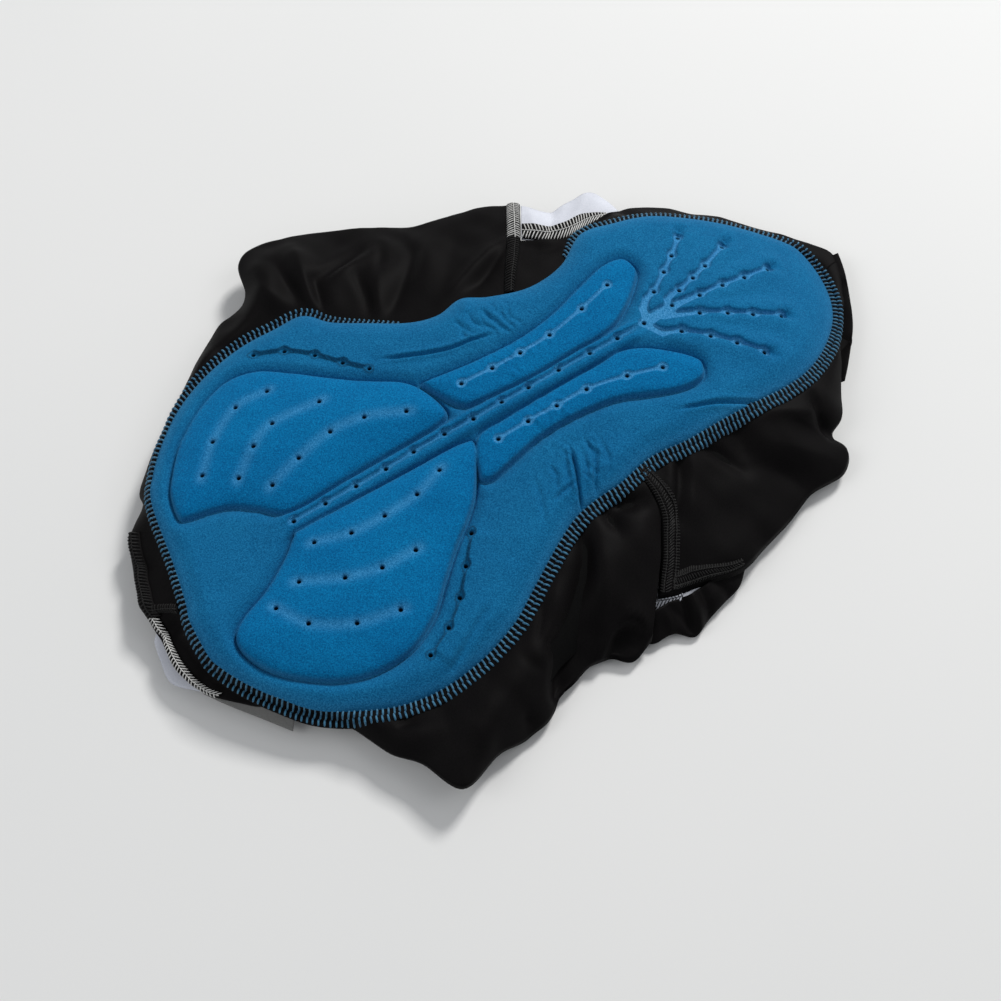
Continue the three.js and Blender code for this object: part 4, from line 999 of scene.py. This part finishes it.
# ---------- seams ----------
def seam(name, g, node_name, bed_material, thread_material, pitch=2.0, slant=1.2, radius=0.33, high=1.2, rows=2, second=None):
    """An overlocked seam on a strip of cloth: a raised bed with threads across it. g runs along the seam, then across it."""
    n, m = g.shape[:2]
    nrm = grid_normals(g)
    w = np.linspace(0, 1, m)
    crown = 0.35 + high * np.sqrt(np.clip(1 - (2 * w - 1) ** 2, 0, 1)) ** 0.6
    bed = g + nrm * crown[None, :, None]
    under = g + nrm * 0.1
    pts = np.vstack([bed.reshape(-1, 3), under.reshape(-1, 3)])
    top = grid_faces(n, m)
    faces = [list(f) for f in top] + [list(f[::-1] + n * m) for f in top]
    o, q = lambda i, j: i * m + j, lambda i, j: n * m + i * m + j
    for i in range(n - 1):
        faces += [[o(i, 0), q(i, 0), q(i + 1, 0), o(i + 1, 0)], [o(i, m - 1), o(i + 1, m - 1), q(i + 1, m - 1), q(i, m - 1)]]
    for j in range(m - 1):
        faces += [[o(0, j), o(0, j + 1), q(0, j + 1), q(0, j)], [o(n - 1, j), q(n - 1, j), q(n - 1, j + 1), o(n - 1, j + 1)]]
    if not upward(g):
        faces = [list(f)[::-1] for f in faces]
    bed_part = (pts, faces)
    along = np.concatenate([[0], np.cumsum(np.linalg.norm(np.diff(g[:, m // 2], axis=0), axis=1))])
    count = max(3, int(along[-1] / pitch))
    paths, extra = [], []
    rng = np.random.default_rng(len(name) * 7)
    k = 6
    for i in range(count):
        s0 = (i + 0.5) * along[-1] / count + rng.uniform(-0.15, 0.15)
        for r in range(rows):
            lo, hi = r / rows + 0.03, (r + 1) / rows - 0.03
            ws = np.linspace(lo, hi, k)
            lean = slant * (1 if r % 2 == 0 else -1)
            ss = np.clip(s0 + lean * (np.linspace(-0.5, 0.5, k)) + (pitch / 2 if r % 2 else 0), 0, along[-1])
            fi = np.interp(ss, along, np.arange(n))
            path = []
            for a, b in zip(fi, ws * (m - 1)):
                i0, j0 = min(int(a), n - 2), min(int(b), m - 2)
                ta, tb = a - i0, b - j0
                mixg = lambda G: (G[i0, j0] * (1 - ta) + G[i0 + 1, j0] * ta) * (1 - tb) + (G[i0, j0 + 1] * (1 - ta) + G[i0 + 1, j0 + 1] * ta) * tb
                path.append(mixg(bed) + mixg(nrm) * radius * 0.75)
            (paths if second is None or rng.random() < 0.55 else extra).append(path)
    # one chain along the seam
    for w0 in ((0.5,) if rows == 2 else (0.25, 0.75)):
        j0 = int(w0 * (m - 1))
        line = bed[:, j0] + nrm[:, j0] * radius
        fine = even(line, 1.6)
        for i in range(len(fine) - 1):
            a, b = fine[i], fine[i + 1]
            paths.append([a + (b - a) * t for t in np.linspace(0.0, 0.92, k)])
    bed_o = mesh_piece(name + "_bed", *bed_part, bed_material)
    t_o = mesh_piece(name + "_thread", *tubes(paths, radius, 6), thread_material)
    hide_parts(node_name)
    if extra:
        e_o = mesh_piece(name + "_thread_2", *tubes(extra, radius, 6), second)
    return bed_o


def on_panel(name, rows_at, parts_at):
    """A grid on a panel's finished surface."""
    g2, rows, parts, secs = PANELS[name]
    out = np.zeros((len(rows_at), len(parts_at), 3))
    fi = np.interp(rows_at, rows, np.arange(len(rows)))
    fj = np.interp(parts_at, parts, np.arange(len(parts)))
    for a, i in enumerate(fi):
        for b, j in enumerate(fj):
            i0, j0 = min(int(i), g2.shape[0] - 2), min(int(j), g2.shape[1] - 2)
            ti, tj = i - i0, j - j0
            out[a, b] = (g2[i0, j0] * (1 - ti) + g2[i0 + 1, j0] * ti) * (1 - tj) + (g2[i0, j0 + 1] * (1 - ti) + g2[i0 + 1, j0 + 1] * ti) * tj
    return out


def turned(g):
    return np.swapaxes(g, 0, 1)[:, ::-1]


# seams that run from the pad outwards: along the section, across the rows
g = on_panel("back_panel_left", np.linspace(16.03, 16.97, 9), 1 + 2 * np.linspace(0.02, 0.56, 40))
seam("inseam_left", turned(g), "inseam_left", BLACK, BLACK_THREAD, pitch=1.7)
g = on_panel("back_panel_left", np.linspace(16.03, 16.97, 9), 1 + 2 * np.linspace(0.56, 0.985, 40))
seam("inseam_left_end", turned(g), "inseam_left", BLACK, WHITE_THREAD, pitch=1.9, slant=1.7, radius=0.33)
g = on_panel("front_panel_right", np.linspace(15.03, 15.97, 9), 1 + 2 * np.linspace(0.02, 0.99, 60))
seam("inseam_right", turned(g), "inseam_right", BLACK, BLACK_THREAD, pitch=1.5, radius=0.3, rows=3)
g = on_panel("insert_left", np.linspace(0.05, 4.6, 60), 2 * np.linspace(0, 0.34, 9))
seam("cross_seam_left", g, "cross_seam_left", BLACK, WHITE_THREAD, pitch=1.9, slant=1.7, radius=0.33, high=1.0)
g = on_panel("front_panel_right", np.linspace(12.9, 15.3, 60), 1 + 2 * np.linspace(0.85, 0.995, 9))
g = g[:, -1:] + (g - g[:, -1:]) * np.interp(np.arange(60), [0, 38], [0.3, 1])[:, None, None]
seam("cross_seam_right", g, "cross_seam_right", BLACK, BLACK_THREAD, pitch=1.5, radius=0.3, rows=3)
g = on_panel("insert_right", np.linspace(0.05, 1.7, 30), 2 * np.linspace(0.02, 0.8, 9))
seam("insert_right_edge", g, "cross_seam_right", WHITE, BLACK_THREAD, pitch=1.9, slant=1.6, radius=0.26, high=0.5)
g = on_panel("rear_panel", np.linspace(6.2, 9.35, 60), 1 + 2 * np.linspace(0.64, 0.97, 9))
seam("rear_serge", g, "rear_serge", BLACK, BLACK_THREAD, pitch=1.8)
g = on_panel("rear_panel", np.linspace(6.3, 6.72, 7), 1 + 2 * np.linspace(0.2, 0.72, 24))
seam("rear_cross", turned(g), "rear_serge", BLACK, BLACK_THREAD, pitch=1.5, radius=0.3)
g = on_panel("rear_panel", np.linspace(2.6, 6.2, 60), 1 + 2 * np.linspace(0.70, 0.985, 9))
seam("rear_overlock", g, "rear_serge", BLACK, WHITE_THREAD, pitch=1.9, slant=1.7, radius=0.33, high=1.0)


def border():
    """The pad's stitched border: two rows of blue stitches over the edge of the black cloth."""
    trees = []
    for name in ("back_panel_left", "front_panel_left", "front_panel_right", "back_panel_right", "rear_panel"):
        g2 = PANELS[name][0]
        trees.append(BVHTree.FromPolygons([tuple(p) for p in g2.reshape(-1, 3)], [tuple(int(x) for x in f) for f in grid_faces(*g2.shape[:2])]))
    total = EDGE_AT[-1]
    n = int(total / 1.0)
    offs = np.array([-1.2, -0.2, 1.0, 2.4, 3.4, 4.4, 5.8, 6.8, 7.5])
    wide_at = [(0, 5.2), (60, 7), (400, 6.8), (470, 5), (540, 3.9), (600, 4.2), (700, 5), (740, 4), (765, 2.4), (790, 1.2), (880, 1.2), (905, 4.6), (950, 4.6), (1070, 4.6)]
    width = np.interp(np.arange(n) * total / n, *zip(*wide_at)) / 7.0
    at_n = np.arange(n) * total / n
    hidden = smooth(at_n, 778, 792) * (1 - smooth(at_n, 884, 896))
    xy, z = np.zeros((n, len(offs), 2)), np.full((n, len(offs)), np.nan)
    top = np.zeros(n)
    # the outward direction is smoothed, so that the border bends evenly round tight corners
    ats = np.arange(n) * total / n
    pts, ins = zip(*[edge_at(a) for a in ats])
    pts, ins = np.array(pts), np.array(ins)
    k = 7
    ins = unit(sum(np.roll(ins, s, 0) for s in range(-k, k + 1)))
    for i in range(n):
        top[i] = dome(*pts[i])
        for j, o in enumerate(offs):
            x, y = plan(*(pts[i] - ins[i] * (o * width[i] if o > 0 else o)))
            xy[i, j] = x, y
            best = None
            for t in trees:
                hit = t.ray_cast(Vector((x, y, 80)), Vector((0, 0, -1)))[0]
                if hit is not None and (best is None or hit.z > best):
                    best = hit.z
            if best is not None:
                z[i, j] = best
    for j in range(len(offs)):
        rel = z[:, j] - top
        bad = np.isnan(rel) | (rel < -14)
        rel[bad] = np.interp(np.flatnonzero(bad), np.flatnonzero(~bad), rel[~bad], period=n)
        for _ in range(3):
            rel = (np.roll(rel, 2) + np.roll(rel, 1) + rel + np.roll(rel, -1) + np.roll(rel, -2)) / 5
        z[:, j] = np.clip(rel, -11, -4.6) + top
    rise = np.array([0.5, 0.75, 1.0, 0.95, 0.45, 0.95, 1.0, 0.55, 0.05])
    g = np.concatenate([xy, (z + rise * (0.4 + 0.6 * width)[:, None] - (2.2 * hidden)[:, None])[..., None]], 2)
    m = len(offs)
    faces = []
    for i in range(n):
        for j in range(m - 1):
            a, c = i * m + j, ((i + 1) % n) * m + j
            faces.append([a, c, c + 1, a + 1])
    # a wall under it, so that it is a closed strip
    low = g.copy()
    low[..., 2] -= np.where(np.arange(m) % (m - 1) == 0, 0.5, 0.9)[None]
    N = n * m
    faces += [[q + N for q in f[::-1]] for f in faces]
    for i in range(n):
        a, c = i * m, ((i + 1) % n) * m
        faces.append([a, a + N, c + N, c])
        faces.append([a + m - 1, c + m - 1, c + m - 1 + N, a + m - 1 + N])
    bed = mesh_piece("pad_border_bed", np.vstack([g.reshape(-1, 3), low.reshape(-1, 3)]), faces, BLACK)

    def on(i, o):
        i0 = int(i) % n
        t = i - int(i)
        row = g[i0] * (1 - t) + g[(i0 + 1) % n] * t
        return np.array([np.interp(o, offs, row[:, c]) for c in range(3)])
    rng = np.random.default_rng(3)
    paths = []
    count = int(total / PITCH)
    for s in range(count):
        for row, (a, b, lean) in enumerate(((-0.9, 3.4, 0.45), (3.6, 7.1, -0.3))):
            i = (s + (0.2 if row else 0)) * n / count + rng.uniform(-0.12, 0.12)
            if hidden[int(i) % n] > 0.5:
                continue
            end = b + rng.uniform(-0.25, 0.25)
            path = []
            for f in np.linspace(0, 1, 6):
                q = on(i + lean * (f - 0.5), a + (end - a) * f)
                q[2] += 0.22 + 0.16 * math.sin(math.pi * f)
                path.append(q)
            paths.append(path)
    t = mesh_piece("pad_border_thread", *tubes(paths, 0.56, 8, 0.75), BLUE_THREAD)


border()
make_pad()

# ---------- floor, light and camera ----------
bpy.ops.mesh.primitive_plane_add(size=6, location=(0, 0, -0.0004))
floor = bpy.context.object
floor.name = "floor"
m, nt, b = shader("pale_table", 0.75, specular=0.15)
nt.links.new(ramp(nt, noise(nt, 3, 2, 0.5), [(0.2, (0.80, 0.805, 0.80)), (0.8, (0.83, 0.83, 0.825))]), b.inputs["Base Color"])
floor.data.materials.append(m)

w = bpy.data.worlds.new("studio")
bpy.context.scene.world = w
w.use_nodes = True
w.node_tree.nodes["Background"].inputs["Color"].default_value = (0.93, 0.96, 1.0, 1)
w.node_tree.nodes["Background"].inputs["Strength"].default_value = 0.30


def area_light(name, azimuth, elevation, far, size, power, colour=(1, 1, 1), aim=(0, 0, 0.02)):
    l = bpy.data.lights.new(name, "AREA")
    l.energy, l.size, l.color = power, size, colour
    o = bpy.data.objects.new(name, l)
    a, e = math.radians(azimuth), math.radians(elevation)
    place = Vector((math.cos(a) * math.cos(e), math.sin(a) * math.cos(e), math.sin(e))) * far + Vector(aim)
    o.location = place
    o.rotation_euler = (Vector(aim) - place).to_track_quat("-Z", "Y").to_euler()
    bpy.context.scene.collection.objects.link(o)


area_light("key", 58, 42, 2.8, 0.6, 58, (1.0, 0.99, 0.97))
area_light("side", 5, 50, 2.6, 1.2, 6)
area_light("fill", 195, 42, 2.4, 1.4, 11.5)

ELEVATION, FAR, FOCAL = 64.0, 750.0, 1402.5
cam = bpy.data.cameras.new("camera")
cam.sensor_width, cam.lens = 36.0, FOCAL / 1001 * 36
co = bpy.data.objects.new("camera", cam)
e = math.radians(ELEVATION)
co.location = world((0, -FAR * math.cos(e), 20 + FAR * math.sin(e)))
co.rotation_euler = (math.radians(90 - ELEVATION), 0, 0)
bpy.context.scene.collection.objects.link(co)
bpy.context.scene.camera = co
bpy.context.scene.view_settings.view_transform = "Standard"
